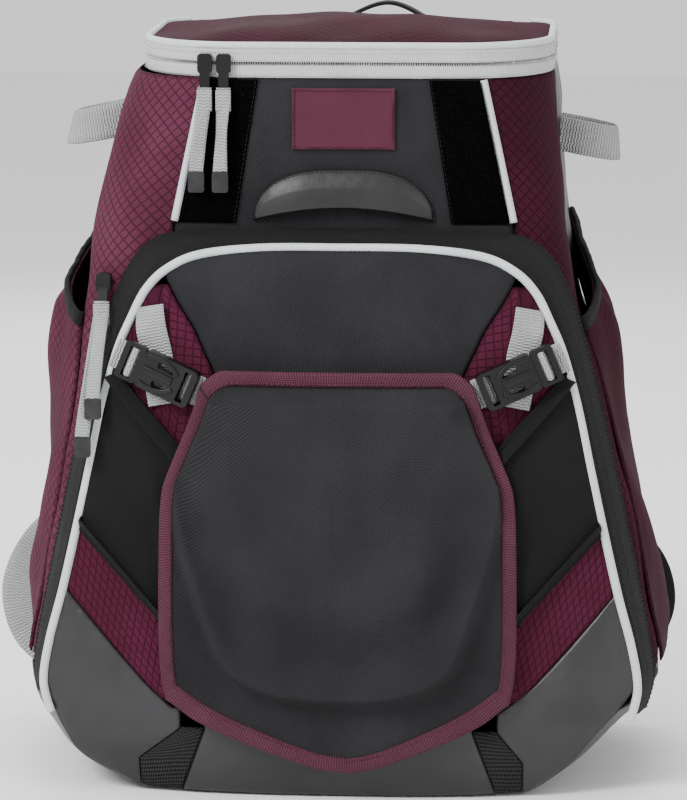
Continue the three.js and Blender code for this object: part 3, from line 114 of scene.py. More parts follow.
SHIELD_FOOT = {"height": (0, 0.18, 0.54, 0.84, 1), "rise": (0, 0.07, 0.38, 0.71, 1)}
BASE_NARROWING = {
    "height": (0, 0.1, 0.31, 0.53, 0.74, 1),
    "left": (0.66, 0.75, 0.89, 0.95, 0.985, 1),
    "right": (0.63, 0.7, 0.8, 0.87, 0.94, 1),
}
SLEEVE_BULGES = {
    "height": (0.2, 0.32, 0.46, 0.62, 0.75, 0.84, 0.94, 1),
    "left": (0.1, 0.4, 0.46, 0.64, 0.77, 0.64, 0.24, 0.12),
    "right": (0.1, 0.22, 0.2, 0.16, 0.4, 0.55, 0.2, 0.1),
}
RELIEF_RINGS = {
    "height": (0, 0.15, 0.23, 0.3, 0.42, 0.64, 0.7, 1),
    "plateau": (0.67, 0.715, 0.69, 0.6, 0.54, 0.64, 0.78, 1.2),
    "valley": (1.04, 1.03, 0.93, 0.895, 0.88, 0.9, 0.95, 1.4),
    "ridge": (1.24, 1.25, 1.085, 0.985, 0.9, 0.92, 0.97, 1.5),
}

SIDES = ((-1, "left"), (1, "right"))
print("the lid's seam is", round(LID_HEIGHT, 1), "mm up")

# %% [markdown]
# ## Reading a table, and the outline of the bag
# Each height of the bag is a rounded rectangle. A place on it is a run, the distance round it from the middle of the
# front. Working on whole arrays at once keeps this quick enough for cloth with tens of thousands of points.


# %% Reading tables and mixing values
def mix(a, b, t):
    return a + (b - a) * t


def share(x, low, high):
    return np.clip((x - low) / (high - low), 0, 1)


def ease(x, low, high):
    t = share(x, low, high)
    return t * t * (3 - 2 * t)


def read(table, column, at):
    keys, values = np.array(table["height"], float), np.array(table[column], float)
    slopes = np.empty_like(values)
    slopes[1:-1] = (values[2:] - values[:-2]) / (keys[2:] - keys[:-2])
    slopes[[0, -1]] = (values[1] - values[0]) / (keys[1] - keys[0]), (values[-1] - values[-2]) / (keys[-1] - keys[-2])
    x = np.clip(at, keys[0], keys[-1])
    i = np.clip(np.searchsorted(keys, x) - 1, 0, len(keys) - 2)
    width = keys[i + 1] - keys[i]
    t = (x - keys[i]) / width
    bend = width * t * (1 - t) * (slopes[i] * (1 - t) - slopes[i + 1] * t)
    return mix(values[i], values[i + 1], t * t * (3 - 2 * t)) + bend


def sided(table, side, at):
    return np.where(np.asarray(side) < 0, read(table, "left", at), read(table, "right", at))


def xyz(x, y, z):
    return np.stack(np.broadcast_arrays(x, y, z), axis=-1).astype(float)


print("half width low on the left:", round(float(HALF_WIDTH * sided(BODY, -1, 0.16)), 1))


# %% The bag's rounded outline
def section(side, z):
    height = np.asarray(z) / PANEL_HEIGHT
    half = HALF_WIDTH * sided(BODY, side, height)
    corner = HALF_WIDTH * read(BODY, "corner", height)
    return half, corner, half - corner, corner * math.pi / 2, BACK_Y - FRONT_Y - corner - BACK_CORNER


def body_point(side, run, z, lift=0.0):
    half, corner, flat, bend, flank = section(side, z)
    past_flat = run - flat
    past_bend = past_flat - bend
    past_flank = past_bend - flank
    a = np.clip(past_flat / corner, 0, math.pi / 2)
    b = np.clip(past_flank / BACK_CORNER, 0, math.pi / 2)
    beyond = np.maximum(past_flank - BACK_CORNER * math.pi / 2, 0)
    where = [past_flat < 0, past_bend < 0, past_flank < 0]
    rear = BACK_CORNER + lift
    across = [run, flat + (corner + lift) * np.sin(a), half + lift]
    deep = [FRONT_Y - lift + 0 * run, FRONT_Y + corner - (corner + lift) * np.cos(a), FRONT_Y + corner + past_bend]
    x = np.select(where, np.broadcast_arrays(*across), half - BACK_CORNER + rear * np.cos(b) - beyond)
    y = np.select(where, np.broadcast_arrays(*deep), BACK_Y - BACK_CORNER + rear * np.sin(b))
    return xyz(side * x, y, z)


def run_to_x(side, x, z):
    half, corner, flat, bend, flank = section(side, z)
    return np.where(x < flat, x, flat + corner * np.arcsin(np.clip((x - flat) / corner, 0, 1)))


def run_to_y(side, y, z):
    half, corner, flat, bend, flank = section(side, z)
    return flat + bend + y - FRONT_Y - corner


def run_to_back(side, z):
    half, corner, flat, bend, flank = section(side, z)
    return flat + bend + flank + BACK_CORNER * math.pi / 2


def tilted(y):
    return LID_TILT * (y - FRONT_Y)


def piping_x(z):
    return mix(106.0, 86.0, share(z, POCKET_HEIGHT, PANEL_HEIGHT))


def panel_top(y):
    return PANEL_HEIGHT + tilted(y)


def rim_point(t, height, lift):
    side = np.where(np.asarray(t) < 0, -1.0, 1.0)
    place = body_point(side, np.abs(t) * 0.97 * run_to_back(side, LID_HEIGHT), LID_HEIGHT + 0 * t, lift)
    place[..., 2] = height + tilted(place[..., 1])
    return place


print("front edge of the lid at", rim_point(np.array([0.0]), LID_HEIGHT, 0)[0].round(1))


# %% [markdown]
# ## The pocket, its arch and the base
# The pocket stands out under an arched zip. The base curves in towards the floor, more at its sides. Both are one
# outline read by its reach: 0 in the middle of the front, 1 at the piping, 2 behind the zip band, 5 at the back.


# %% Smooth lines through stops
def through(stops, steps):
    """Evenly stepped points on a smooth line through the stops."""
    stops = np.asarray(stops, float)
    ends = 2 * stops[0] - stops[1], 2 * stops[-1] - stops[-2]
    p = np.vstack([ends[0], stops, ends[1]])
    t = np.linspace(0, len(stops) - 1, steps + 1)
    i = np.minimum(t.astype(int), len(stops) - 2)
    w = (t - i)[:, None]
    a, b, c, d = p[i], p[i + 1], p[i + 2], p[i + 3]
    gaps = [np.sqrt(np.linalg.norm(v - u, axis=1, keepdims=True)) for u, v in ((a, b), (b, c), (c, d))]
    g0, g1, g2 = (np.where(g < 1e-4, 1.0, g) for g in gaps)
    m1 = ((b - a) / g0 - (c - a) / (g0 + g1) + (c - b) / g1) * g1
    m2 = ((c - b) / g1 - (d - b) / (g1 + g2) + (d - c) / g2) * g1
    return b + m1 * w + (3 * (c - b) - 2 * m1 - m2) * w**2 + (2 * (b - c) + m1 + m2) * w**3


def arch_line(name):
    """The arch as a function of t, from 0 in the middle of its top to 1 at its foot."""
    stops = np.stack([np.array(ARCH[name + "_x"]) * HALF_WIDTH, np.array(ARCH[name + "_z"]) * POCKET_HEIGHT], 1)
    p = np.vstack([stops[0], stops, stops[-1]])

    def at(t):
        u = np.clip(np.abs(t), 0, 1) * (len(stops) - 1)
        i = np.minimum(u.astype(int), len(stops) - 2)
        w = (u - i)[..., None]
        a, b, c, d = p[i], p[i + 1], p[i + 2], p[i + 3]
        v0, v1 = (c - a) / 2, (d - b) / 2
        return (2 * b - 2 * c + v0 + v1) * w**3 + (3 * c - 3 * b - 2 * v0 - v1) * w**2 + v0 * w + b

    return at


pipe_line, band_line = arch_line("pipe"), arch_line("band")
pipe = pipe_line(np.linspace(0, 1, 121))


def arch_place(line, t, y):
    p = line(np.asarray(t, float))
    return xyz(np.sign(t) * p[..., 0], y, p[..., 1])


print("arch foot:", pipe[-1].round(1))


# %% Places on the pocket's face
def face_half(z):
    return np.interp(z, pipe[::-1, 1], pipe[::-1, 0])


def arch_top(x):
    widest = int(pipe[:, 0].argmax()) + 1
    return np.interp(x, pipe[:widest, 0], pipe[:widest, 1])


def pocket_edge(z):
    return POCKET_EDGE_Y * read(POCKET_DEPTHS, "edge", z / POCKET_HEIGHT)


def pocket_y(x, z):
    centre = POCKET_CENTRE_Y * read(POCKET_DEPTHS, "centre", z / POCKET_HEIGHT)
    return mix(centre, pocket_edge(z), np.clip(x / np.maximum(face_half(z), 1), 0, 1) ** 3)


def narrowed(side, z):
    return sided(BASE_NARROWING, side, share(z, FLOOR, BASE_ROUND))


def bag_point(side, reach, z):
    face, half, rear = face_half(z), section(side, z)[0], BACK_Y - BACK_CORNER
    out = np.clip(reach - 1, 0, 1)
    x = np.where(reach > 1, mix(face, half, out), reach * face)
    y = np.where(reach > 1, mix(pocket_edge(z), FRONT_Y, out), pocket_y(x, z))
    y = np.where(reach > 2, mix(FRONT_Y, rear, np.clip(reach - 2, 0, 1)), y)
    a = np.clip(reach - 3, 0, 1) * math.pi / 2
    x = np.where(reach > 3, (half - BACK_CORNER) * np.clip(5 - reach, 0, 1) + BACK_CORNER * np.cos(a), x)
    y = np.where(reach > 3, rear + BACK_CORNER * np.sin(a), y)
    rounding = np.sqrt(1 - (1 - share(z, FLOOR, BASE_ROUND)) ** 2)
    return xyz(side * x * narrowed(side, z), y * mix(0.97, 1, rounding), z)


def face_point(side, x, z, lift=0.0):
    p = bag_point(side, x / (face_half(z) * narrowed(side, z)), z)
    p[..., 1] -= lift
    return p


def boot_line(across_at, z):
    """Height of the corner boots' top edge, for a point whose distance from the middle follows its height."""
    z = z * 0 + BOOT_CENTRE_TOP
    for _ in range(4):
        along = (across_at(z) - 104.0) / (171.0 - 104.0)
        z = mix(50.0, 124.0, np.clip(along, 0, 1.1) ** 1.1)
    return z


def seam_x(z):
    return HALF_WIDTH * read(POCKET_SEAM, "x", z / POCKET_HEIGHT)


print("pocket's face at half height:", face_point(1, 60.0, np.array(170.0)).round(1))


# %% [markdown]
# ## The helmet flap's relief
# The flap is pressed foam: a raised middle, a slope down to a valley round it, and an outer ridge. Rings of
# distances by direction give that relief, and the same function serves the flap, its binding and its stitching.


# %% Places on the flap
def pouch_gap(u, v):
    return POUCH_DEPTH * mix(0.5, 1, v) * (1 - 0.3 * u * u)


def relief(x, z):
    direction = np.arctan2(np.abs(x), RELIEF_CENTRE - z) / math.pi
    r = np.hypot(x, RELIEF_CENTRE - z) / SHIELD_HALF
    plateau, valley, ridge = (read(RELIEF_RINGS, name, direction) for name in ("plateau", "valley", "ridge"))
    low = 0.3
    rim = low + 0.45 * np.clip((ridge - valley) / 0.15, 0, 1)
    inner = mix(1, low, ease(r, plateau, valley))
    middle = mix(low, rim, ease(r, valley, np.maximum(ridge, valley + 0.02)))
    return np.where(r < valley, inner, np.where(r < ridge, middle, mix(rim, 0, ease(r, ridge, ridge + 0.08))))


def shield_point(u, v, inset=0.0, raised=0.0, lift=0.0):
    across = np.abs(u)
    foot = mix(SHIELD_TIP, SHIELD_SHOULDER, read(SHIELD_FOOT, "rise", across)) + inset * 1.1
    z = mix(foot, SHIELD_TOP - inset - 9 * share(across, 0.86, 1) ** 2, v)
    x = across * (SHIELD_HALF * read(SHIELD_OUTLINE, "x", z / SHIELD_TOP) - inset)
    fade = share(z, SHIELD_TOP - BINDING, SHIELD_TOP - 2 * BINDING)
    out = pouch_gap(u, v) + SHIELD_WALL + raised * RELIEF * relief(x, z) * fade + lift
    aside = SHIELD_TIP_X * (1 - across) * (1 - v) ** 3
    return xyz(np.sign(u) * x + aside, pocket_y(x, np.maximum(z, BASE_ROUND)) - out, z)


print("tip of the flap:", shield_point(np.array(0.0), np.array(0.0)).round(1))


# %% [markdown]
# ## Wires and finishes
# A finish is a small network of nodes. Writing its maths as Python expressions keeps it readable: a wire stands for
# a node's output, and adding or multiplying wires adds the Math nodes. Colours are mixed by Mix nodes, because a
# Math node would turn them grey.


# %% A wire and a finish
class Wire:
    """A node's output, which can stand in a Python expression."""

    def __init__(self, finish, socket):
        self.finish, self.socket = finish, socket

    def math(self, operation, *values):
        return self.finish.node("Math", {"operation": operation}, dict(enumerate(values)))

    def __add__(self, other):
        return self.math("ADD", self, other)

    def __sub__(self, other):
        return self.math("SUBTRACT", self, other)

    def __rsub__(self, other):
        return self.math("SUBTRACT", other, self)

    def __mul__(self, other):
        return self.math("MULTIPLY", self, other)

    __radd__, __rmul__ = __add__, __mul__

    def wave(self, pitch):
        """A smooth ripple from -1 to 1, once every pitch."""
        return self.math("SINE", self * (2 * math.pi / pitch))

    def lines(self, pitch, width):
        """1 on lines that come once every pitch, 0 between them."""
        return 1 - self.math("PINGPONG", self * (2 / pitch), 1.0).smooth(0.5 * width, 1.4 * width)

    def smooth(self, low, high):
        sockets = {"Value": self, "From Min": low, "From Max": high}
        return self.finish.node("MapRange", {"interpolation_type": "SMOOTHSTEP"}, sockets)


class Finish:
    """A material whose shader is fed by expressions on wires."""

    def __init__(self, name, **constants):
        self.material = bpy.data.materials.new(name)
        self.material.use_nodes = True
        self.tree = self.material.node_tree
        self.shader = self.tree.nodes["Principled BSDF"]
        for socket, value in constants.items():
            self.shader.inputs[socket.replace("_", " ")].default_value = value

    def node(self, kind, settings=None, sockets=None, out=0):
        made = self.tree.nodes.new("ShaderNode" + kind)
        for key, value in (settings or {}).items():
            setattr(made, key, value)
        for key, value in (sockets or {}).items():
            self.plug(made.inputs[key], value)
        return Wire(self, made.outputs[out])

    def plug(self, socket, value):
        if isinstance(value, Wire):
            self.tree.links.new(value.socket, socket)
        else:
            socket.default_value = value

    def cloth(self):
        """Millimetres along the cloth, up the cloth, and in from its nearest edge."""
        place = self.node("Attribute", {"attribute_name": "cloth"}, out="Vector")
        split = self.node("SeparateXYZ", {}, {0: place})
        return [Wire(self, socket) for socket in split.socket.node.outputs]

    def cloud(self, scale, detail=3.0):
        place = self.node("TexCoord", out="Object")
        return self.node("TexNoise", {}, {"Vector": place, "Scale": scale, "Detail": detail})

    def blend(self, factor, a, b):
        return self.node("Mix", {"data_type": "RGBA"}, {0: factor, 6: a, 7: b}, out=2)

    def done(self, colour, roughness, height, depth):
        bump = self.node("Bump", {}, {"Strength": 1.0, "Distance": depth * MM, "Height": height}, out="Normal")
        self.plug(self.shader.inputs["Base Color"], colour)
        self.plug(self.shader.inputs["Roughness"], roughness)
        self.plug(self.shader.inputs["Normal"], bump)
        return self.material


def paint(code):
    """A screen colour such as 5a2a3c as the light that the shader works in."""
    parts = [int(code[i : i + 2], 16) / 255 for i in (0, 2, 4)]
    return [c / 12.92 if c < 0.04045 else ((c + 0.055) / 1.055) ** 2.4 for c in parts] + [1.0]


print("maroon:", [round(c, 3) for c in paint("5a2a3c")])

# %% [markdown]
# ## Cloth finishes
# Ripstop has a grid of thicker threads in a fine weave. The grid lies on the diagonal on the bag and square on the
# pocket. Ballistic cloth is a plain weave of thick yarn. Webbing, tape and binding are ribbed across their length.


# %% Ripstop and ballistic cloth
GRID_PITCH, GRID_LINE = 5.3, 0.17  # millimetres between the thick threads, and their share of it


def ripstop(name, body, lit, line, turn):
    f = Finish(name, Specular_IOR_Level=0.07)
    s, t, edge = f.cloth()
    c, k = math.cos(turn), math.sin(turn)
    a, b = s * c + t * k, t * c - s * k
    threads = {0: a.lines(GRID_PITCH, GRID_LINE), 1: b.lines(GRID_PITCH, GRID_LINE)}
    grid = f.node("Math", {"operation": "MAXIMUM"}, threads)
    weave = a.wave(0.9) * b.wave(0.9)
    patchy = f.cloud(18).smooth(0.35, 0.7)
    cloth = f.blend(patchy * 0.5 + weave * 0.12, paint(body), paint(lit))
    # Painted shade: the cloth darkens towards the grid line colour within 3.5 mm of the piece's edges, where the
    # seams fall in shade.
    seam = (1 - edge.smooth(0, 3.5)) * 0.55
    colour = f.blend(seam, f.blend(grid * 0.62, cloth, paint(line)), paint(line))
    return f.done(colour, 0.7 + patchy * 0.12, grid * 0.8 + weave * 0.25, 0.35)


def ballistic(name, body, lit, pitch=1.5, depth=0.3, edge_shade=0.4):
    f = Finish(name, Specular_IOR_Level=0.2)
    s, t, edge = f.cloth()
    weave = (s + t * 0.5).wave(pitch) * t.wave(pitch * 0.8)
    patchy = f.cloud(22).smooth(0.3, 0.75)
    cloth = f.blend(weave * 0.35 + patchy * 0.25 + 0.3, paint(body), paint(lit))
    # Painted shade: the cloth darkens towards near-black within 3 mm of the piece's edges, where the seams fall in
    # shade.
    colour = f.blend((1 - edge.smooth(0, 3)) * edge_shade, cloth, paint("0c0c0d"))
    return f.done(colour, 0.72 + patchy * 0.12, weave, depth)


# Painted light and shade: one ripstop in two copies, a lighter lit copy for the left side and its sleeve, and a
# darker shaded copy for the right side, its sleeve and the lid.
SHADED_MAROON = ripstop("ripstop in shade", "310d1b", "431729", "16040b", math.radians(42))
MAROON_LIT = ripstop("ripstop in the light", "4a2031", "633648", "260c17", math.radians(42))
RIPSTOP_OF = {"left": MAROON_LIT, "right": SHADED_MAROON}
MAROON_SQUARE = ripstop("ripstop set square", "421426", "54203a", "1d0610", math.radians(4))
BLACK = ballistic("ballistic cloth", "0e0e10", "37373b")
BAND = ballistic("zip band cloth", "0a0a0b", "1b1b1d", 1.1, 0.2)
STRETCH = ballistic("stretch cloth", "060607", "131315", 0.9, 0.12)
print("woven finishes made")


# %% Ribbed tapes, coated cloth, spacer mesh and pile
def ribbed(name, body, lit, pitch, depth=0.35, slant=0.35):
    f = Finish(name, Specular_IOR_Level=0.2)
    s, t, edge = f.cloth()
    zigzag = f.node("Math", {"operation": "PINGPONG"}, {0: t, 1: 2.2})
    ribs = (s + zigzag * slant).wave(pitch)
    grain = t.wave(1.3)
    cloth = f.blend(ribs * 0.35 + grain * 0.12 + f.cloud(60) * 0.5 + 0.2, paint(body), paint(lit))
    return f.done(cloth, 0.7 + ribs * 0.08, ribs + grain * 0.4, depth)


def coated(name, body, lit, rough=0.3):
    f = Finish(name, Specular_IOR_Level=0.45)
    s, t, edge = f.cloth()
    broad, fine = f.cloud(14, 4.0), f.cloud(900, 2.0)
    colour = f.blend(broad.smooth(0.3, 0.75), paint(body), paint(lit))
    # Painted shade: the coated cloth darkens towards near-black within 2.5 mm of the piece's edges, where the seams
    # fall in shade.
    colour = f.blend((1 - edge.smooth(0, 2.5)) * 0.5, colour, paint("121213"))
    return f.done(colour, rough + broad * 0.22, f.cloud(45, 5.0) * 1.4 + fine * 0.12, 0.5)


def spacer(name, body, rim, pitch=3.3, depth=1.0):
    f = Finish(name, Specular_IOR_Level=0.12)
    s, t, edge = f.cloth()
    cells = (s + t * 0.577).wave(pitch) * (s - t * 0.577).wave(pitch)
    holes = cells.smooth(-0.05, 0.55)
    colour = f.blend(holes, paint(rim), paint(body))
    return f.done(colour, 0.8 - holes * 0.1, 1 - holes, depth)


def pile(name):
    f = Finish(name, Specular_IOR_Level=0.0)
    fuzz, tufts = f.cloud(1400, 2.0), f.cloud(420, 3.0)
    colour = f.blend(fuzz.smooth(0.45, 0.8), paint("040405"), paint("151516"))
    return f.done(colour, 0.95 - fuzz * 0.05, fuzz + tufts * 1.5, 0.9)


def moulded(name, body, lit, rough=0.32):
    f = Finish(name, Specular_IOR_Level=0.3)
    grain = f.cloud(700, 2.0)
    colour = f.blend(f.cloud(90).smooth(0.35, 0.7), paint(body), paint(lit))
    return f.done(colour, rough + grain * 0.12, grain, 0.08)


GREY_WEBBING = ribbed("grey webbing", "858688", "b6b8b9", 1.9)
BLACK_WEBBING = ribbed("black webbing", "0b0b0c", "1f1f21", 1.9)
ZIP_TAPE = ribbed("zip tape", "a9a8aa", "cfced1", 1.2, 0.15, 0.15)
BINDING_TAPE = ribbed("binding tape", "401929", "5f3445", 1.6, 0.4, 0.0)
PATCH_CLOTH = ribbed("patch cloth", "451a2b", "552638", 1.0, 0.15, 0.1)
PIPING_SKIN = ribbed("piping", "b2b8bb", "d8dee1", 1.3, 0.12, 0.0)
COATED = coated("coated cloth", "171618", "28272a")
COVER = coated("coated cover", "0b0b0c", "18181a", 0.34)
VENT = spacer("spacer mesh", "050506", "2a2a2c")
PADDING = spacer("padding mesh", "080809", "1d1d1f", 2.6, 0.7)
PILE = pile("loop pile")
PLASTIC = moulded("black plastic", "040405", "0b0b0c")
RUBBER = moulded("black rubber", "1b1b1d", "29292c", 0.5)
BLACK_THREAD = moulded("black thread", "0d0d0e", "1d1d1f", 0.7)
MAROON_THREAD = moulded("maroon thread", "3c1424", "5c2c40", 0.7)
GREY_THREAD = moulded("grey thread", "9a9c9e", "c2c4c6", 0.7)
ZIP_TEETH = moulded("zip teeth", "8d8f92", "b4b6b9", 0.45)
print("finishes:", len(bpy.data.materials))

# %% [markdown]
# ## From points to pieces
# Every piece is one closed mesh. It carries a value on each point that says where on the cloth the point is, which is
# what the weaves are drawn from, so a weave follows the cloth round a bend and stays the right size.


# %% Making a piece
def ripple(s, t, size, seed, count=6):
    """Smooth waves in many directions, from about -1 to 1. The seed makes them the same each time."""
    chance = np.random.default_rng(seed)
    total = 0
    for _ in range(count):
        angle, phase, scale = chance.uniform(0, math.pi), chance.uniform(0, 6.3), size * chance.uniform(0.6, 1.6)
        a, b = s * math.cos(angle) + t * math.sin(angle), t * math.cos(angle) - s * math.sin(angle)
        total = total + np.sin(a * 6.28 / scale + phase + 1.3 * np.sin(b * 2.6 / scale + phase))
    return total / count


def piece(name, places, faces, cloth, finish, nodes=()):
    mesh = bpy.data.meshes.new(name)
    lifted = (np.asarray(places).reshape(-1, 3) - [0, 0, FLOOR]) * MM
    mesh.from_pydata(lifted.tolist(), [], [list(map(int, f)) for f in faces])
    mesh.polygons.foreach_set("use_smooth", [True] * len(mesh.polygons))
    where = mesh.attributes.new("cloth", "FLOAT_VECTOR", "POINT")
    where.data.foreach_set("vector", np.asarray(cloth, dtype=np.float32).reshape(-1))
    mesh.materials.append(finish)
    made = bpy.data.objects.new(name, mesh)
    bpy.context.scene.collection.objects.link(made)
    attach(made, "root")
    if nodes:
        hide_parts(*nodes)
    return made


def unit(v):
    return v / np.maximum(np.linalg.norm(v, axis=-1, keepdims=True), 1e-9)


def lengths(p, axis):
    steps = np.linalg.norm(np.diff(p, axis=axis), axis=-1)
    return np.concatenate([np.zeros_like(np.take(steps, [0], axis)), np.cumsum(steps, axis)], axis)


MIDDLE = np.array([0.0, 25.0, 220.0])  # a place inside the bag, which tells a piece's outer face
made_from = {}
print("pieces face away from", MIDDLE)


# %% A sewn panel
def sew(name, face, finish, nodes=(), size=(80, 80), thick=2.0, puff=0.0, creases=0.0, across=60.0, pucker=0.0,
        turn=1.2, seed=1, shape=None):
    """A panel from face(u, v), filled out between its seams, creased, and turned in at its edges."""
    columns, rows = size
    u, v = np.meshgrid(np.linspace(0, 1, columns + 1), np.linspace(0, 1, rows + 1), indexing="ij")
    p = face(u, v)
    n = unit(np.cross(np.gradient(p, axis=0), np.gradient(p, axis=1)))
    flipped = (n * (p - MIDDLE)).sum() < 0
    n = -n if flipped else n
    s, t = lengths(p, 0), lengths(p, 1)
    edge = np.minimum(np.minimum(s, s[-1:] - s), np.minimum(t, t[:, -1:] - t))
    s = s - s[columns // 2]
    body = puff * (1 - (1 - share(edge, 0, 28)) ** 2) + creases * ripple(s, t, across, seed) * share(edge, 0, 18)
    body = body + pucker * ripple(s, t, 12, seed + 1) * np.exp(-edge / 7) * share(edge, 0, 2)
    if shape is not None:
        body = body + shape(p, s, t, edge)
    roll = turn * (1 - np.sqrt(1 - (1 - share(edge, 0, turn)) ** 2))
    outer = p + n * (body - roll)[..., None]
    inner = p + n * (body - thick)[..., None]
    count = (columns + 1) * (rows + 1)
    i, j = np.meshgrid(np.arange(columns), np.arange(rows), indexing="ij")
    a = (i * (rows + 1) + j).ravel()
    quads = np.stack([a, a + rows + 1, a + rows + 2, a + 1], -1)
    k = np.arange(count).reshape(columns + 1, rows + 1)
    loop = np.concatenate([k[:-1, 0], k[-1, :-1], k[:0:-1, -1], k[0, :0:-1]])
    rim = np.stack([loop, loop + count, np.roll(loop, -1) + count, np.roll(loop, -1)], -1)
    faces = np.concatenate([quads, quads[:, ::-1] + count, rim])
    faces = faces[:, ::-1] if flipped else faces
    cloth = np.stack([s, t, edge], -1).reshape(-1, 3)
    made = piece(name, np.concatenate([outer.reshape(-1, 3), inner.reshape(-1, 3)]), faces, np.tile(cloth, (2, 1)),
                 finish, nodes)
    made_from[name] = {"outer": outer, "normal": n, "s": s - s[0], "t": t}
    return made


def row(name, distance, lift=0.15):
    """A line across a sewn panel, this far from its lower edge, or from its upper one if negative."""
    m = made_from[name]
    t = m["t"].mean(axis=0)
    j = int(np.argmin(np.abs(t - (distance if distance > 0 else t[-1] + distance))))
    return m["outer"][:, j] + m["normal"][:, j] * lift


def column(name, distance, lift=0.15):
    """A line up a sewn panel, this far from its first edge, or from its last one if negative."""
    m = made_from[name]
    s = m["s"].mean(axis=1)
    i = int(np.argmin(np.abs(s - (distance if distance > 0 else s[-1] + distance))))
    return m["outer"][i] + m["normal"][i] * lift


# %% Webbing, cords and stitches
FLAT = [(-0.5, 0), (-0.47, 0.4), (-0.3, 0.5), (0, 0.5), (0.3, 0.5), (0.47, 0.4),
        (0.5, 0), (0.47, -0.4), (0.3, -0.5), (0, -0.5), (-0.3, -0.5), (-0.47, -0.4)]
ROUND = [(0.5 * math.cos(a), 0.5 * math.sin(a)) for a in np.linspace(0, 2 * math.pi, 13)[:-1]]
PAD = [(0.5 * np.sign(math.cos(a)) * abs(math.cos(a)) ** 0.6, 0.5 * np.sign(math.sin(a)) * abs(math.sin(a)) ** 0.7)
       for a in np.linspace(0, 2 * math.pi, 41)[:-1]]


def face_outwards(made):
    """Turns every face of a closed piece outwards."""
    work = bmesh.new()
    work.from_mesh(made.data)
    bmesh.ops.recalc_face_normals(work, faces=work.faces)
    work.to_mesh(made.data)
    work.free()


def sweep(name, centre, across, width, thick, finish, slot, nodes=(), outline=FLAT, sway=0.0, seed=3):
    """An outline carried along a line. across is the direction of its width at each point."""
    tangent = unit(np.gradient(centre, axis=0))
    side = unit(across - tangent * (across * tangent).sum(-1, keepdims=True))
    normal = np.cross(tangent, side)
    s = lengths(centre, 0)
    rings = []
    for a, b in outline:
        wave = sway * ripple(s, a * width, 16, seed) * np.ones_like(s)
        rings.append(centre + side * a * width + normal * (b * thick + wave)[:, None])
    rings = np.stack(rings, 1)
    steps, around = rings.shape[:2]
    k = np.arange(steps * around).reshape(steps, around)
    a, b = k[:-1], k[1:]
    quads = np.stack([a, b, np.roll(b, -1, 1), np.roll(a, -1, 1)], -1).reshape(-1, 4)
    faces = [list(f) for f in quads[:, ::-1]] + [list(k[0]), list(k[-1][::-1])]
    t = np.array([a * width for a, _ in outline])
    cloth = np.stack(np.broadcast_arrays(s[:, None], t[None], width / 2 - np.abs(t)[None]), -1)
    made = piece(name, rings, faces, cloth, finish, nodes)
    made.data.validate()
    face_outwards(made)
    return made


def webbing(name, stops, across, width, thick, finish, slot, nodes=(), steps=90, **more):
    return sweep(name, through(stops, steps), through(across, steps), width, thick, finish, slot, nodes, **more)


def cord(name, centre, thick, finish, slot, nodes=(), about=(0, 1, 0)):
    across = np.tile(np.array(about, float), (len(centre), 1))
    return sweep(name, centre, across, thick, thick, finish, slot, nodes, outline=ROUND)


def stitches(name, lines, finish, pitch=3.4, length=2.4, thick=0.5, turned=False):
    """Short threads along lines. Turned ones lie across their line, which makes the teeth of a zip."""
    places, faces = [], []
    for line in lines:
        s = lengths(line, 0)
        at = np.arange(pitch / 2, s[-1], pitch)
        middle = np.stack([np.interp(at, s, line[:, i]) for i in range(3)], -1)
        ahead = unit(np.stack([np.interp(at + 0.5, s, line[:, i]) for i in range(3)], -1) - middle + 1e-9)
        out = unit(middle - MIDDLE)
        side = unit(np.cross(ahead, out))
        along = side if turned else ahead
        width = unit(np.cross(along, out))
        rise = unit(np.cross(width, along))
        shape = [(-0.5, 0, 0), (0.5, 0, 0)]
        shape += [(x, a, b) for x in (-0.34, 0.34) for a, b in ((0.5, 0), (0, 0.5), (-0.5, 0), (0, -0.5))]
        rings = [middle + along * length * x + width * thick * a + rise * thick * b for x, a, b in shape]
        start = 10 * sum(len(p) for p in places)
        places.append(np.stack(rings, 1))
        turnings = [(0, 2 + (i + 1) % 4, 2 + i) for i in range(4)] + [(1, 6 + i, 6 + (i + 1) % 4) for i in range(4)]
        turnings += [(2 + i, 2 + (i + 1) % 4, 6 + (i + 1) % 4, 6 + i) for i in range(4)]
        faces += [[start + 10 * m + k for k in face] for m in range(len(at)) for face in turnings]
    places = np.concatenate(places).reshape(-1, 3)
    made = piece(name, places, faces, np.zeros_like(places), finish)
    print(f"{name}: {len(faces) // 12} threads")
    return made


# %% [markdown]
# ## The main bag
# The front of the bag is black ballistic cloth between two lines of pale piping. The sides are maroon ripstop with a
# grey coated strip behind. Each panel tucks under its piping, so no gap shows along a seam.


# %% Panels of the main bag
def half_of(u):
    return np.where(u < 0.5, -1.0, 1.0)


def front_face(u, v):
    z = mix(FLOOR + 2.7, panel_top(FRONT_Y) + 0.5, v)
    reach = np.abs(2 * u - 1) * (run_to_x(half_of(u), piping_x(z), z) - 0.4)
    return body_point(half_of(u), reach, z)


sew("front_cloth", front_face, BLACK, ["front_panel"], (60, 70), creases=0.7, across=70, seed=4)


def body_face(side, start, end, tuck):
    def face(u, v):
        run_at_top = mix(start(PANEL_HEIGHT), end(PANEL_HEIGHT), u)
        top = panel_top(body_point(side, run_at_top, PANEL_HEIGHT + 0 * u)[..., 1])
        z = mix(BOOT_HEIGHT - 1.0, top + 0.4, v)
        return body_point(side, mix(start(z) + tuck, end(z) - 0.2, u), z)

    return face


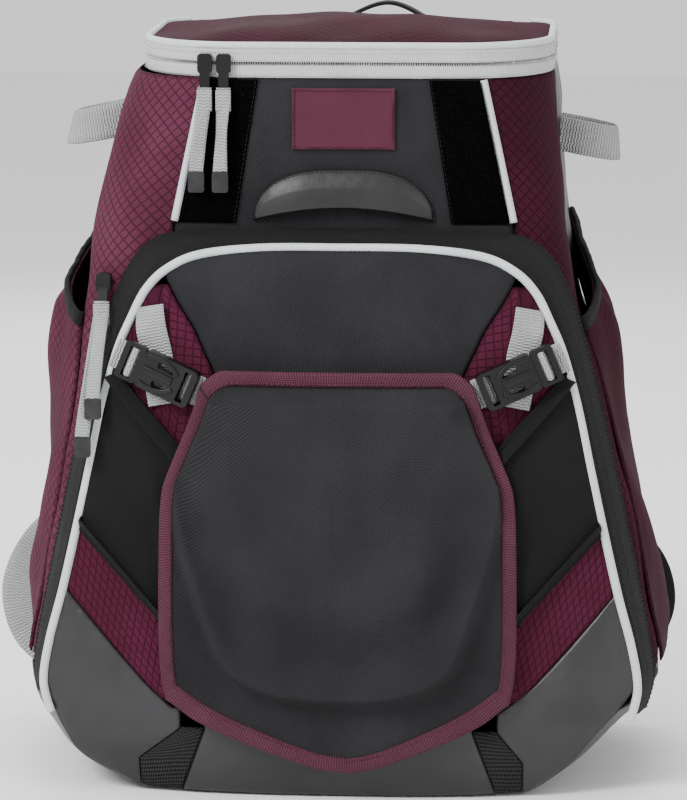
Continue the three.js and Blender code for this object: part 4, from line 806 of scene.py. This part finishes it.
for side, name in SIDES:
    from_piping = lambda z: run_to_x(side, piping_x(z), z)
    to_strip = lambda z: run_to_y(side, 18.0, z)
    to_back = lambda z: run_to_back(side, z)
    upper = lambda p, s, t, edge: 5.0 * ease(p[..., 2], 330, 430) * share(edge, 0, 25) * (1 if side < 0 else 0.3)
    sew(f"side_cloth_{name}", body_face(side, from_piping, to_strip, 0.4), RIPSTOP_OF[name],
        [f"side_panel_{name}"], (80, 120), creases=2.2, across=75, pucker=0.5, puff=1.5, seed=11 + side)
    sew(f"coated_strip_{name}", body_face(side, to_strip, to_back, 0.2), COATED, [f"grey_strip_{name}"],
        (40, 90), creases=1.8, across=55, pucker=0.4, puff=1.5, seed=21 + side, shape=upper)
    z = np.linspace(POCKET_HEIGHT + 3, PANEL_HEIGHT - 1, 40)
    centre = body_point(side, run_to_x(side, piping_x(z), z), z, 0.3)
    cord(f"panel_cord_{name}", centre, PIPING, PIPING_SKIN, "piping", [f"panel_piping_{name}"])
print("panels:", len(made_from))


# %% [markdown]
# ## The padded back
# The back is foam under spacer mesh. Pressed channels let air through, so the padding is built as one swollen panel
# with grooves between its pads.


# %% Back panel
def back_face(u, v):
    z = mix(BOOT_HEIGHT + 0.5, LID_HEIGHT + tilted(BACK_Y), v)
    x = np.abs(2 * u - 1) * (section(half_of(u), np.minimum(z, PANEL_HEIGHT))[0] - BACK_CORNER - 1.2)
    return xyz(half_of(u) * x, BACK_Y + 0 * u, z)


def channels(p, s, t, edge):
    middle = np.exp(-((p[..., 0] / 9) ** 2))
    cross = sum(np.exp(-(((p[..., 2] - z - 0.12 * np.abs(p[..., 0])) / 5) ** 2)) for z in (150, 235, 320, 395))
    return -5.0 * np.clip(middle + cross, 0, 1) * share(edge, 0, 6)


backing = sew("back_padding", back_face, PADDING, ["back_panel"], (84, 110), thick=9, puff=6,
              turn=3, shape=channels, seed=31)
print("back padding:", len(backing.data.polygons), "faces")

# %% [markdown]
# ## The lid and its zip
# The lid is a crowned panel of ripstop. Its zip has two pale tapes with a row of teeth between them, and a thin line
# of piping covers the seam above.


# %% Lid, zip tapes and teeth
def lid_face(u, v):
    side = half_of(u)
    half, corner = section(side, LID_HEIGHT + 0 * u)[:2]
    inset = 2.0
    y = mix(FRONT_Y + inset, BACK_Y - 9.3, v)

    def bend(radius, past):
        return radius - np.sqrt(np.maximum((radius - inset) ** 2 - np.maximum(past, 0) ** 2, 0))

    x = (half - np.maximum(bend(corner, FRONT_Y + corner - y), bend(BACK_CORNER, y - BACK_Y + BACK_CORNER)))
    crown = LID_CROWN * (1 - (2 * u - 1) ** 2) * (1 - (2 * v - 1) ** 4)
    return xyz(x * (2 * u - 1), y, LID_HEIGHT + tilted(y) + crown)


sew("lid_cloth", lambda u, v: lid_face(u, 0.5 - 0.5 * np.cos(math.pi * v)), SHADED_MAROON, ["lid"], (90, 80),
    creases=1.6, across=80, pucker=0.4, seed=41)
for name, low, high in (("lower", PANEL_HEIGHT, PANEL_HEIGHT + TAPE_HEIGHT),
                        ("upper", PANEL_HEIGHT + TAPE_HEIGHT + ZIP_GAP, LID_HEIGHT - LID_PIPING / 2)):
    sew(f"tape_{name}", lambda u, v: rim_point(2 * u - 1, mix(low, high, v), 0.4), ZIP_TAPE,
        [f"lid_tape_{name}"], (260, 8), puff=0.5, turn=0.8, pucker=0.15, seed=43)
around = np.linspace(-0.985, 0.985, 400)
zip_height = PANEL_HEIGHT + TAPE_HEIGHT + ZIP_GAP / 2
stitches("lid_teeth", [rim_point(around, zip_height, 0.1)], ZIP_TEETH, 1.5, 2.6, 0.8, turned=True)
stitches("lid_tape_stitches", [rim_point(around, z, 1.15) for z in (PANEL_HEIGHT + 1.6, LID_HEIGHT - 4.2)],
         GREY_THREAD, 2.6, 1.9, 0.4)
cord("lid_cord", rim_point(around, LID_HEIGHT, -LID_PIPING / 2 + 0.4), LID_PIPING + 0.6, PIPING_SKIN, "piping",
     ["lid_piping"], about=(0, 0, 1))
print("the lid's zip runs", round(float(lengths(rim_point(around, zip_height, 0), 0)[-1])), "mm")

# %% [markdown]
# ## The front pocket
# A black middle panel sits between maroon corners. Coated boots guard the lower corners, spacer mesh lets the
# pocket breathe at its foot, and the coated base runs all the way round.


# %% Pocket panels
def vent_inner(z):
    return mix(98.0, 84.0, share(z, VENT_FOOT, VENT_TOP))


def vent_outer(side, z):
    return mix(124.0 if side < 0 else 114.0, 98.0, share(z, VENT_KNEE, VENT_TOP))


def pocket_face(u, v):
    across = np.abs(2 * u - 1)
    top = arch_top(across * seam_x(POCKET_HEIGHT * 0.93)) - 1.5
    z = mix(BOOT_CENTRE_TOP - 1.0, top, np.sin(math.pi / 2 * v))
    return face_point(half_of(u), across * (seam_x(z) - 0.4), z)


sew("pocket_cloth", pocket_face, BLACK, ["pocket_panel"], (90, 80), creases=0.6, across=90, puff=0.8,
    pucker=0.2, seed=51)
for side, name in SIDES:

    def corner_face(u, v):
        across_at = lambda z: mix(seam_x(z) + 0.3, np.maximum(face_half(z) - 1.0, seam_x(z) + 2), u)
        foot = np.maximum(boot_line(across_at, u), BOOT_CENTRE_TOP) - 0.3
        z = mix(foot, POCKET_HEIGHT * 0.905, v)
        return face_point(side, across_at(z), z)

    def boot_face(u, v):
        inner = lambda z: np.minimum((vent_outer(side, z) + 0.4) / (face_half(z) * narrowed(side, z)), 0.955)
        reach = lambda z: mix(inner(z), 1 - 0.6 / face_half(z), u)
        z = mix(FLOOR + 1.0, boot_line(lambda at: reach(at) * face_half(at), u), v)
        return bag_point(side, reach(z), z)

    def vent_face(u, v):
        z = mix(FLOOR + 2.0, VENT_TOP + 0.5, v)
        face = face_half(z) * narrowed(side, z)
        outer = np.minimum(vent_outer(side, z) + 0.4, 0.955 * face)
        return face_point(side, mix(vent_inner(z) - 0.4, outer, u), z)

    def dent(p, s, t, edge):
        return 2.5 * ripple(p[..., 0] * 0.6, p[..., 2], 46, 63 + side) * share(edge, 0, 14)

    sew(f"corner_cloth_{name}", corner_face, MAROON_SQUARE, [f"pocket_corner_{name}"], (40, 90),
        creases=1.0, across=60, pucker=0.4, puff=1.0, seed=53 + side)
    sew(f"coated_corner_{name}", boot_face, COATED, [f"corner_boot_{name}"], (64, 64), thick=2.4, puff=2.0,
        pucker=0.7, seed=57 + side, shape=dent)
    sew(f"vent_mesh_{name}", vent_face, VENT, [f"vent_{name}"], (40, 40), thick=2.4, puff=2.0,
        seed=61)


print("panels so far:", len(made_from))


# %% The coated base, in five pieces
def base_front(u, v):
    z = mix(FLOOR + 0.5, BOOT_CENTRE_TOP, v)
    return face_point(half_of(u), np.abs(2 * u - 1) * (vent_inner(z) - 0.4), z)


def base_rear(u, v):
    z = mix(FLOOR + 0.5, BOOT_HEIGHT, v)
    return bag_point(half_of(u), 5 - 3.04 * np.abs(2 * u - 1), z)


sew("base_front", base_front, COATED, ["base_boot"], (80, 34), thick=2.4, creases=1.2, across=50,
    pucker=0.6, puff=1.0, seed=71)
sew("base_rear", base_rear, COATED, ["base_boot"], (180, 34), thick=2.4, creases=1.4, across=60, pucker=0.4,
    puff=1.0, seed=72)
for side, name in SIDES:
    sew(f"base_side_{name}", lambda u, v: bag_point(side, mix(1.0, 1.97, u), mix(FLOOR + 0.5, BAND_FOOT + 6, v)),
        COATED, ["base_boot"], (30, 30), thick=2.4, puff=1.0, seed=73)


def base_floor(u, v):
    ring = np.where(u < 0.5, u * 2, 2 - u * 2) * 5
    edge = bag_point(np.where(u < 0.5, 1.0, -1.0), ring, FLOOR + 0.3 + 0 * u)
    edge[..., :2] *= mix(0.02, 1.0, v)[..., None]
    edge[..., 2] = FLOOR + 0.2 + 0.3 * v**8
    return edge


sew("base_floor", base_floor, COATED, ["base_boot"], (120, 16), thick=2.4, turn=0.0, seed=74)
print("base pieces:", sum(key.startswith("base_") for key in made_from))


# %% [markdown]
# ## The arched zip band
# The pocket opens under an arch. Its band is black woven cloth with two rows of stitching and a coil zip between
# them, and pale piping runs round the inside of the arch.


# %% Zip band and its piping
def band_face(u, v):
    t = 2 * u - 1
    inner = arch_place(pipe_line, t, 0.0)
    inner[..., 1] = pocket_edge(inner[..., 2])
    outer = arch_place(band_line, t, FRONT_Y - 2.3)
    out = unit(outer - inner)
    place = mix(inner + out * 1.5, outer, v[..., None])
    place[..., 1] -= 3 * np.sin(math.pi * v)
    return place


sew("zip_band", band_face, BAND, ["pocket_band"], (300, 16), pucker=0.15, turn=1.0, seed=81)
stitches("band_stitches", [row("zip_band", d) for d in (4, 6.5, -4, -6.5)], BLACK_THREAD, 3.0, 2.2)
stitches("band_teeth", [row("zip_band", 16, -0.1)], BLACK_THREAD, 1.7, 3.4, 0.9, turned=True)
arch = arch_place(pipe_line, np.linspace(-1, 1, 300), 0.0)
arch[..., 1] = pocket_edge(arch[..., 2]) - 0.4
cord("arch_cord", arch, PIPING + 0.4, PIPING_SKIN, "piping", ["pocket_piping"])
print("the arch's piping is", round(float(lengths(arch, 0)[-1])), "mm long")

# %% [markdown]
# ## The helmet flap
# The flap is pressed foam faced with ballistic cloth. Its relief is real geometry, because its slopes catch the
# light. A ribbed maroon binding wraps its edge, sewn with one row of stitches.


# %% Flap and binding
def flap_face(u, v):
    return shield_point(2 * u - 1, v, inset=BINDING - 1.5, raised=1.6)


sew("flap", flap_face, BLACK, ["shield"], (120, 120), thick=4.0, turn=0.5, seed=91)

corners = ((-1, 1), (1, 1), (1, 0), (-1, 0), (-1, 1))
ring_u = np.concatenate([np.linspace(a[0], b[0], 90, endpoint=False) for a, b in zip(corners, corners[1:])])
ring_v = np.concatenate([np.linspace(a[1], b[1], 90, endpoint=False) for a, b in zip(corners, corners[1:])])
PROFILE = ((0.0, 0.0), (0.04, 0.9), (0.2, 1.5), (0.5, 1.6), (0.8, 1.5), (0.96, 0.9), (1.0, -0.4), (1.0, -4.0),
           (0.5, -4.6), (0.05, -4.2), (0.0, -2.0))
rings = np.stack([shield_point(ring_u, ring_v, inset=a * BINDING, lift=b) for a, b in PROFILE], 1)
steps, sides_of = rings.shape[:2]
k = np.arange(steps * sides_of).reshape(steps, sides_of)
ahead = np.roll(k, -1, 0)
quads = np.stack([k, ahead, np.roll(ahead, -1, 1), np.roll(k, -1, 1)], -1).reshape(-1, 4)
along = lengths(np.concatenate([rings[:, 3], rings[:1, 3]]), 0)[:-1]
across = np.array([a * BINDING for a, _ in PROFILE])
cloth = np.stack(np.broadcast_arrays(along[:, None], across[None], 4 + 0 * across[None]), -1)
binding = piece("flap_binding", rings, quads, cloth, BINDING_TAPE, ["shield_binding"])
face_outwards(binding)
thread = shield_point(ring_u, ring_v, inset=0.8 * BINDING, lift=1.75)
stitches("binding_stitches", [thread], MAROON_THREAD, 3.2, 2.3, 0.55)
print("the binding goes", round(float(along[-1])), "mm round the flap")

# %% [markdown]
# ## Stretch gussets
# Each side of the flap's pouch is closed by stretch cloth, held taut between the piping and the flap, with a sewn hem
# along its top and bottom. It is a sheet, so its cut size is measured and printed.


# %% Gussets
for side, name in SIDES:

    def gusset_face(u, v):
        outer_z, inner_z = mix(160.0, 262.0, v), mix(104.0, 215.0, v)
        z = mix(outer_z, inner_z, u)
        shield_x = SHIELD_HALF * read(SHIELD_OUTLINE, "x", inner_z / SHIELD_TOP) - 1.0
        x = mix(face_half(outer_z) - 1.0, shield_x, u)
        behind = pouch_gap(1, (inner_z - SHIELD_SHOULDER) / (SHIELD_TOP - SHIELD_SHOULDER)) - 0.4
        lift = mix(1.8, behind, u**2) + 4 * np.sin(math.pi * u) * v
        return face_point(side, x, z, lift)

    def taut(p, s, t, edge):
        fan = np.sin(t / 11 + 0.02 * s) * np.exp(-((s - s.max()) / 70) ** 2)
        return 1.6 * fan * share(edge, 0, 10)

    cloth_piece = sew(f"gusset_cloth_{name}", gusset_face, STRETCH, [f"gusset_{name}"], (60, 90),
                      thick=1.4, creases=0.6, across=50, seed=95, shape=taut)
    m = made_from[f"gusset_cloth_{name}"]
    wide, tall = float(m["s"].max()) * MM, float(m["t"].max()) * MM
    steps_s, steps_t = np.diff(m["outer"], axis=0)[:, :-1], np.diff(m["outer"], axis=1)[:-1]
    area = float(np.linalg.norm(np.cross(steps_s, steps_t), axis=-1).sum()) * MM * MM
    area = round(min(area, wide * tall), 5)
    print(f"gusset_{name}: {wide * 1000:.0f} x {tall * 1000:.0f} mm")
    for edge_name, distance in (("top", -5.0), ("foot", 5.0)):
        hem = row(f"gusset_cloth_{name}", distance, 0.7)
        up = np.gradient(m["outer"], axis=1)[:, -1 if edge_name == "top" else 0]
        sweep(f"gusset_hem_{edge_name}_{name}", hem, up, 10.5, 1.4, BAND, "stretch_mesh")
    stitches(f"gusset_stitches_{name}", [row(f"gusset_cloth_{name}", d, 1.6) for d in (-8.5, 8.5)], BLACK_THREAD,
             3.0, 2.2)


# %% [markdown]
# ## Buckles, straps and webbing
# The buckles' measured solids have the right shape but sharp edges. A rounded copy takes their place. The straps are
# an outline swept along the same stops as their solids.


# %% Rounded copies of moulded nodes
def rounded(name, finish, radius):
    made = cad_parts[name].copy()
    made.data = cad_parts[name].data.copy()
    made.name = name + "_moulded"
    made.parent = None
    made.matrix_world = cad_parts[name].matrix_world
    made.data.materials.clear()
    made.data.materials.append(finish)
    bpy.context.scene.collection.objects.link(made)
    for key in list(made.keys()):
        del made[key]
    soften = made.modifiers.new("soften", "BEVEL")
    soften.width, soften.segments, soften.limit_method, soften.angle_limit = radius * MM, 3, "ANGLE", math.radians(35)
    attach(made, "root")
    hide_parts(name)
    return made


for side in ("left", "right"):
    for part in ("buckle_socket_", "buckle_plug_"):
        rounded(part + side, PLASTIC, 0.9)
for name in ("lid_slider_a", "lid_slider_b", "pocket_slider"):
    rounded(name, PLASTIC, 0.5)
for name in ("lid_pull_a_tip", "lid_pull_b_tip", "pocket_pull_a_tip", "pocket_pull_b_tip"):
    rounded(name, RUBBER, 0.8)

print("moulded pieces rounded")

# %% Buckle webbing and cinch straps
NARROW = 19.0
CINCH = ((0.32, 2.1, 2.0, 1.0), (0.26, 1.42, 3.0, 0.53), (0.05, 0.47, 1.4, 0.1), (-0.05, -0.42, 1.4, 0),
         (-0.16, -1.05, 1.4, 0))
BUCKLE_X, BUCKLE_HEIGHT, BUCKLE_LIFT, BUCKLE_SLOPE, BUCKLE_TURN = 111.0, 260.0, 10.5, 0.41, 0.16
for side, name in SIDES:
    place = face_point(side, BUCKLE_X, np.array(BUCKLE_HEIGHT), BUCKLE_LIFT)
    axis = unit(np.array([-side * math.cos(BUCKLE_SLOPE), -math.sin(BUCKLE_TURN), -math.sin(BUCKLE_SLOPE)]))
    out = np.array([side * math.sin(BUCKLE_TURN), -1.0, 0.0])
    width = unit(np.cross(out, axis))
    normal = unit(np.cross(axis, width))

    def local(x, z, y=0.0):
        return place + axis * x + width * y + normal * z

    def flat_strap(title, xs, zs, node=None, finish=GREY_WEBBING, wide=NARROW, thick=WEBBING):
        stops = [local(x, z) for x, z in zip(xs, zs)]
        webbing(title, stops, [width] * len(stops), wide, thick, finish, "webbing" if node else "moulded",
                [node] if node else (), 30)

    flat_strap(f"tongue_{name}", (11, 16, 20, 24, 28.5), (-5.6, -5.4, -2.0, -4.6, -5.4), f"buckle_webbing_{name}")
    flat_strap(f"ladder_loop_{name}", (-8, -13, -17.5, -22, -31), (-4.1, -3.6, 2.4, -3.4, -3.9),
               f"ladder_webbing_{name}")
    flat_strap(f"buckle_rib_{name}", (-9, 0, 11), (4.3, 4.5, 4.3), finish=PLASTIC, wide=5.0, thick=1.6)
    for y in (-8.5, 8.5):
        stops = [local(x, 4.1, y * k) for x, k in ((-9, 1.0), (-3, 1.12), (3, 1.12), (9, 0.9), (13, 0.55))]
        webbing(f"buckle_prong_{name}_{'low' if y < 0 else 'high'}", stops, [width] * 5, 3.0, 1.8, PLASTIC, "moulded",
                (), 24)
    stops, across = [], []
    for aside, rise, lift, turn in CINCH:
        height = np.array(BUCKLE_HEIGHT + NARROW * rise)
        stops.append(face_point(side, BUCKLE_X + NARROW * aside, height, lift * WEBBING))
        across.append([-side * math.cos(turn), 0, math.sin(turn)])
    webbing(f"cinch_{name}", stops, across, NARROW, WEBBING, GREY_WEBBING, "webbing", [f"cinch_strap_{name}"], 60,
            sway=0.25)
print("buckle straps:", len(CINCH), "stops in each cinch strap")


# %% [markdown]
# ## Trim on the upper front
# A bare woven patch, two strips of loop pile and a coated cover over a cable port are sewn to the upper front.


# %% Patch, pile strips and cover
def flat_face(x_at, z_at, y):
    return lambda u, v: xyz(x_at(u, v), y + 0 * u, z_at(u, v))


patch_face = flat_face(lambda u, v: mix(-32.0, 32.0, u), lambda u, v: mix(394.0, 432.0, v), FRONT_Y - 2.0)
sew("patch_cloth", patch_face, PATCH_CLOTH, ["patch"], (64, 40), thick=1.5, turn=0.6, seed=101)
edge_lines = [line("patch_cloth", d) for line in (row, column) for d in (1.4, -1.4)]
stitches("patch_border", edge_lines, MAROON_THREAD, 0.8, 2.2, 0.7, turned=True)
for side, name in SIDES:
    x_at = lambda u, v: side * mix(mix(67.0, 53.0, v), piping_x(mix(350.0, 436.0, v)) - 2.0, u)
    sew(f"pile_{name}", flat_face(x_at, lambda u, v: mix(348.0, 437.0, v), FRONT_Y - 2.0), PILE,
        [f"loop_strip_{name}"], (30, 80), thick=1.7, turn=0.8, pucker=0.2, seed=103)
    stitches(f"pile_stitches_{name}", [column(f"pile_{name}", 1.6)], BLACK_THREAD, 3.0, 2.2)


def cover_face(u, v):
    across = 2 * u - 1
    top = mix(350.0, 382.0, np.sqrt(np.maximum(1 - np.abs(across) ** 3, 0)))
    lip = np.minimum(350.0 + 8 * (1 - across**2), top - 1)
    stand = 7.0 * np.cos(math.pi / 2 * v) ** 0.6 * (1 - across**4)
    return xyz(across * 56.0, FRONT_Y - 2.3 - stand, mix(lip, top, v))


sew("port_cover", cover_face, COVER, ["crescent_cover"], (90, 40), thick=2.0, puff=1.5, turn=0.8,
    pucker=0.3, seed=107)
stitches("cover_stitches", [row("port_cover", -2.5)], BLACK_THREAD, 3.0, 2.2)
print("panels so far:", len(made_from))

# %% [markdown]
# ## Zip pulls
# Each slider carries a doubled webbing pull that ends in a rubber tip. The pulls are twisted a little, as they hang.


# %% Zip pulls
def hang_of(place, lean):
    hinge_y, hinge_z = -3.0, 1.5
    reach = 16 + 0.5 + SEAM
    return place + np.array([0, -hinge_z - reach * math.sin(lean), hinge_y - reach * math.cos(lean)])


def pull(name, top, foot, twist, node):
    middle = (top + foot) / 2 + [0, -2, 0]
    webbing(name, [top + [0, 0, 5], top, middle, foot, foot + [0, 0, -3]],
            [(1, 0, 0), (1, 0, 0), (1, twist, 0), (1, 0, 0), (1, 0, 0)], 9.0, 2.2, GREY_WEBBING, "webbing",
                    [node], 70)
    fold = top + [0, -1.4, 3.5]
    webbing(name + "_fold", [fold, fold + [0, -0.2, -6], fold + [0, 0.3, -13]], [(1, 0, 0)] * 3, 9.6, 1.8,
            GREY_WEBBING,
            "webbing", (), 20)


for name, x, fall, twist in (("a", -0.434, -0.109, 0.4), ("b", -0.374, -0.043, -0.9)):
    x = x * HALF_WIDTH
    run = run_to_x(-1, abs(x) - 4.5, np.array(LID_HEIGHT))
    y = float(body_point(-1, run, np.array(LID_HEIGHT))[1]) - SEAM - 2.5
    hang = hang_of(np.array([x, y, zip_height]), 0.05)
    foot = np.array([hang[0] + fall * 46, FRONT_Y - 8, hang[2] - 46])
    pull(f"lid_ribbon_{name}", hang, foot, twist, f"lid_pull_{name}")
outer = arch_place(band_line, np.array(-0.36), FRONT_Y)
place = outer + [-9, SEAM - 2.5, 0]
hang = hang_of(place, 0.75)
fall = np.array([-8.0, -34.0, -74.0])
pull("pocket_ribbon_a", hang, hang + fall, 0.5, "pocket_pull_a")
second = hang + [1, -WEBBING - 2 * SEAM, 0]
pull("pocket_ribbon_b", second, second + fall * 0.68 + [3, -8, 0], -0.3, "pocket_pull_b")
print("the pocket's pull falls", round(float(np.linalg.norm(fall))), "mm")

# %% [markdown]
# ## Bat sleeves and side loops
# A bat stands in an open sleeve on each side, with its handle through a webbing loop above. The sleeve is loose, so
# it gets deep soft folds, and its mouth is bound in black.


# %% Sleeves and loops
for side, name, height in ((-1, "left", 405.0), (1, "right", 397.0)):

    def sleeve_face(u, v):
        z = mix(72.0, mix(288.0, 344.0, u), v)
        half, corner, flat, bend, flank = section(side, z)
        front = flat + corner * np.arccos(np.maximum(1 - 8.0 / corner, 0))
        run = mix(front, run_to_y(side, 80.0, z), u)
        bulge = 32.0 * sided(SLEEVE_BULGES, side, z / 344.0)
        return body_point(side, run, z, bulge * np.sin(math.pi * np.clip(u, 0, 1)) ** 0.8 + 3.3)

    def gathers(p, s, t, edge):
        high = ease(p[..., 2], 200, 330)
        return (2.5 * np.sin(s / 7 + 1.2 * np.sin(t / 40)) * high + 2.0 * np.sin((t + s) / 23)) * share(edge, 0, 16)

    sew(f"sleeve_{name}", sleeve_face, RIPSTOP_OF[name], [f"bat_sleeve_{name}"], (84, 90),
            thick=2.2, creases=2.0,
        across=55, pucker=0.6, seed=111 + side, shape=gathers)
    mouth = row(f"sleeve_{name}", -3.0, 0.0)
    sweep(f"sleeve_hem_{name}", mouth, np.tile([0.0, 0.25, 1.0], (len(mouth), 1)), 9.0, 4.0, BAND, "black_webbing",
          outline=PAD)
    under, over = float(section(side, height - 11)[0]), float(section(side, height + 11)[0])
    root = float(section(side, height)[0]) + 2 * SEAM
    slope = (under - over) / 22
    route = ((0, -0.5), (0.5, -0.55), (0.97, -0.3), (0.97, 0.3), (0.5, 0.55), (0, 0.5))
    stops = [(side * (root + 37 * a), 46 + 30 * b, height - 7 * a) for a, b in route]
    webbing(f"loop_{name}", stops, [(-slope * side, 0, 1)] * len(stops), 22.0, 2.0, GREY_WEBBING, "webbing",
            [f"side_loop_{name}"], 90)
print("the right loop takes", round(float(lengths(through(stops, 90), 0)[-1])), "mm of webbing")

# %% [markdown]
# ## Harness
# Two padded straps of spacer mesh hang from the top of the back. Webbing ties their lower ends to the base, grey on
# the left and black on the right, and a haul loop rises behind the lid.

# %% Shoulder straps, lower webbing and haul loop
STRAP = ((0.22, 0, 0.995, 0), (0.235, 0.06, 0.968, 0.05), (0.3, 0.62, 0.9, 0.1), (0.42, 1, 0.74, 0.15),
         (0.49, 1, 0.56, 0.15), (0.54, 0.76, 0.41, 0.3), (0.6, 0.55, 0.325, 0.6))
LOWER = {"left": ((0.8, 0.5, 0.305, 1.3), (1.06, 0.35, 0.27, 0.75), (1.17, 0.18, 0.185, 0), (1.13, 0.06, 0.11, -0.5),
                  (1.0, 0.02, 0.075, -1.2)),
         "right": ((0.78, 0.45, 0.29, 1.2), (0.96, 0.3, 0.235, 0.6), (1.0, 0.15, 0.17, -0.2), (0.94, 0.03,
                 0.12, -1.0))}
for side, name in SIDES:

    def strap_place(x, out, high, thick):
        return np.array([side * x * HALF_WIDTH, BACK_Y + SEAM + thick / 2 + out * 38, high * PANEL_HEIGHT])

    stops = [strap_place(x, out, high, 11.0) for x, out, high, _ in STRAP]
    across = [(math.cos(turn), 0, side * math.sin(turn)) for *_, turn in STRAP]
    strap = webbing(f"padded_strap_{name}", stops, across, 62.0, 12.5, PADDING, "padding_mesh",
                    [f"shoulder_strap_{name}"], 120, outline=PAD)
    heading = unit(stops[-1] - stops[-2])
    anchor = bag_point(side, np.array(4.2), np.array(0.1 * PANEL_HEIGHT)) + [0, WEBBING / 2 + 2 * SEAM, 0]
    turned = lambda turn: (math.cos(turn), 0, side * math.sin(turn))
    route = [stops[-1] + heading * 0.6] + [strap_place(x, out, high, WEBBING) for x, out, high, _ in LOWER[name]]
    route += [anchor + [side * 25, 0, 0], anchor]
    turns = [across[-1]] + [turned(turn) for *_, turn in LOWER[name]] + [turned(-math.pi / 2)] * 2
    webbing(f"strap_webbing_{name}", route, turns, 25.0, 2.0, GREY_WEBBING if side < 0 else BLACK_WEBBING,
            "webbing" if side < 0 else "black_webbing", [f"lower_webbing_{name}"], 140)
foot = LID_HEIGHT + tilted(BACK_Y) - 12
HAUL = ((-0.5, 0), (-0.36, 0.3), (0.06, 1), (0.4, 0.36), (0.5, 0))
stops = [(12 + 92 * a, BACK_Y + SEAM + 9.5, foot + 23 * b) for a, b in HAUL]
webbing("haul_webbing", stops, [(0, 1, 0)] * 5, 19.0, 2.6, BLACK_WEBBING, "black_webbing", ["haul_loop"], 60)
print("the haul loop takes", round(float(lengths(through(stops, 60), 0)[-1])), "mm of webbing")

# %% [markdown]
# ## Floor and light
# The pack stands on a plain pale floor in soft studio light: one large light in front on the left, a weaker one on
# the right, and one above.

# %% Floor and lights
paper = Finish("pale paper", Specular_IOR_Level=0.2)
floor_mesh = bpy.data.meshes.new("floor")
floor_mesh.from_pydata([(-6, -6, -0.0006), (6, -6, -0.0006), (6, 6, -0.0006), (-6, 6, -0.0006)], [], [(0, 1, 2, 3)])
paper_colour = paper.blend(paper.cloud(3), paint("f2f2f2"), paint("f7f7f7"))
floor_mesh.materials.append(paper.done(paper_colour, 0.9 + paper.cloud(5) * 0.05, paper.cloud(300), 0.05))
floor = bpy.data.objects.new("floor", floor_mesh)
bpy.context.scene.collection.objects.link(floor)

world = bpy.data.worlds.new("studio")
world.use_nodes = True
world.node_tree.nodes["Background"].inputs["Color"].default_value = (1.0, 0.99, 0.98, 1)
world.node_tree.nodes["Background"].inputs["Strength"].default_value = 1.05
bpy.context.scene.world = world


def softbox(name, place, size, power, towards=(0, 0, 0.22)):
    light = bpy.data.lights.new(name, "AREA")
    light.shape, light.size, light.energy = "SQUARE", size, power
    made = bpy.data.objects.new(name, light)
    made.location = place
    direction = np.array(towards) - np.array(place)
    pitch = math.atan2(math.hypot(direction[0], direction[1]), -direction[2])
    made.rotation_euler = (pitch, 0, math.atan2(direction[1], direction[0]) - math.pi / 2)
    bpy.context.scene.collection.objects.link(made)
    return made


softbox("key", (-1.2, -1.5, 1.6), 0.8, 60)
softbox("fill", (1.7, -1.5, 0.9), 1.2, 12)
softbox("top", (0.1, 0.3, 2.0), 1.4, 22)
softbox("rear", (-0.6, 2.0, 1.2), 1.4, 14)
print("lights:", len(bpy.data.lights))
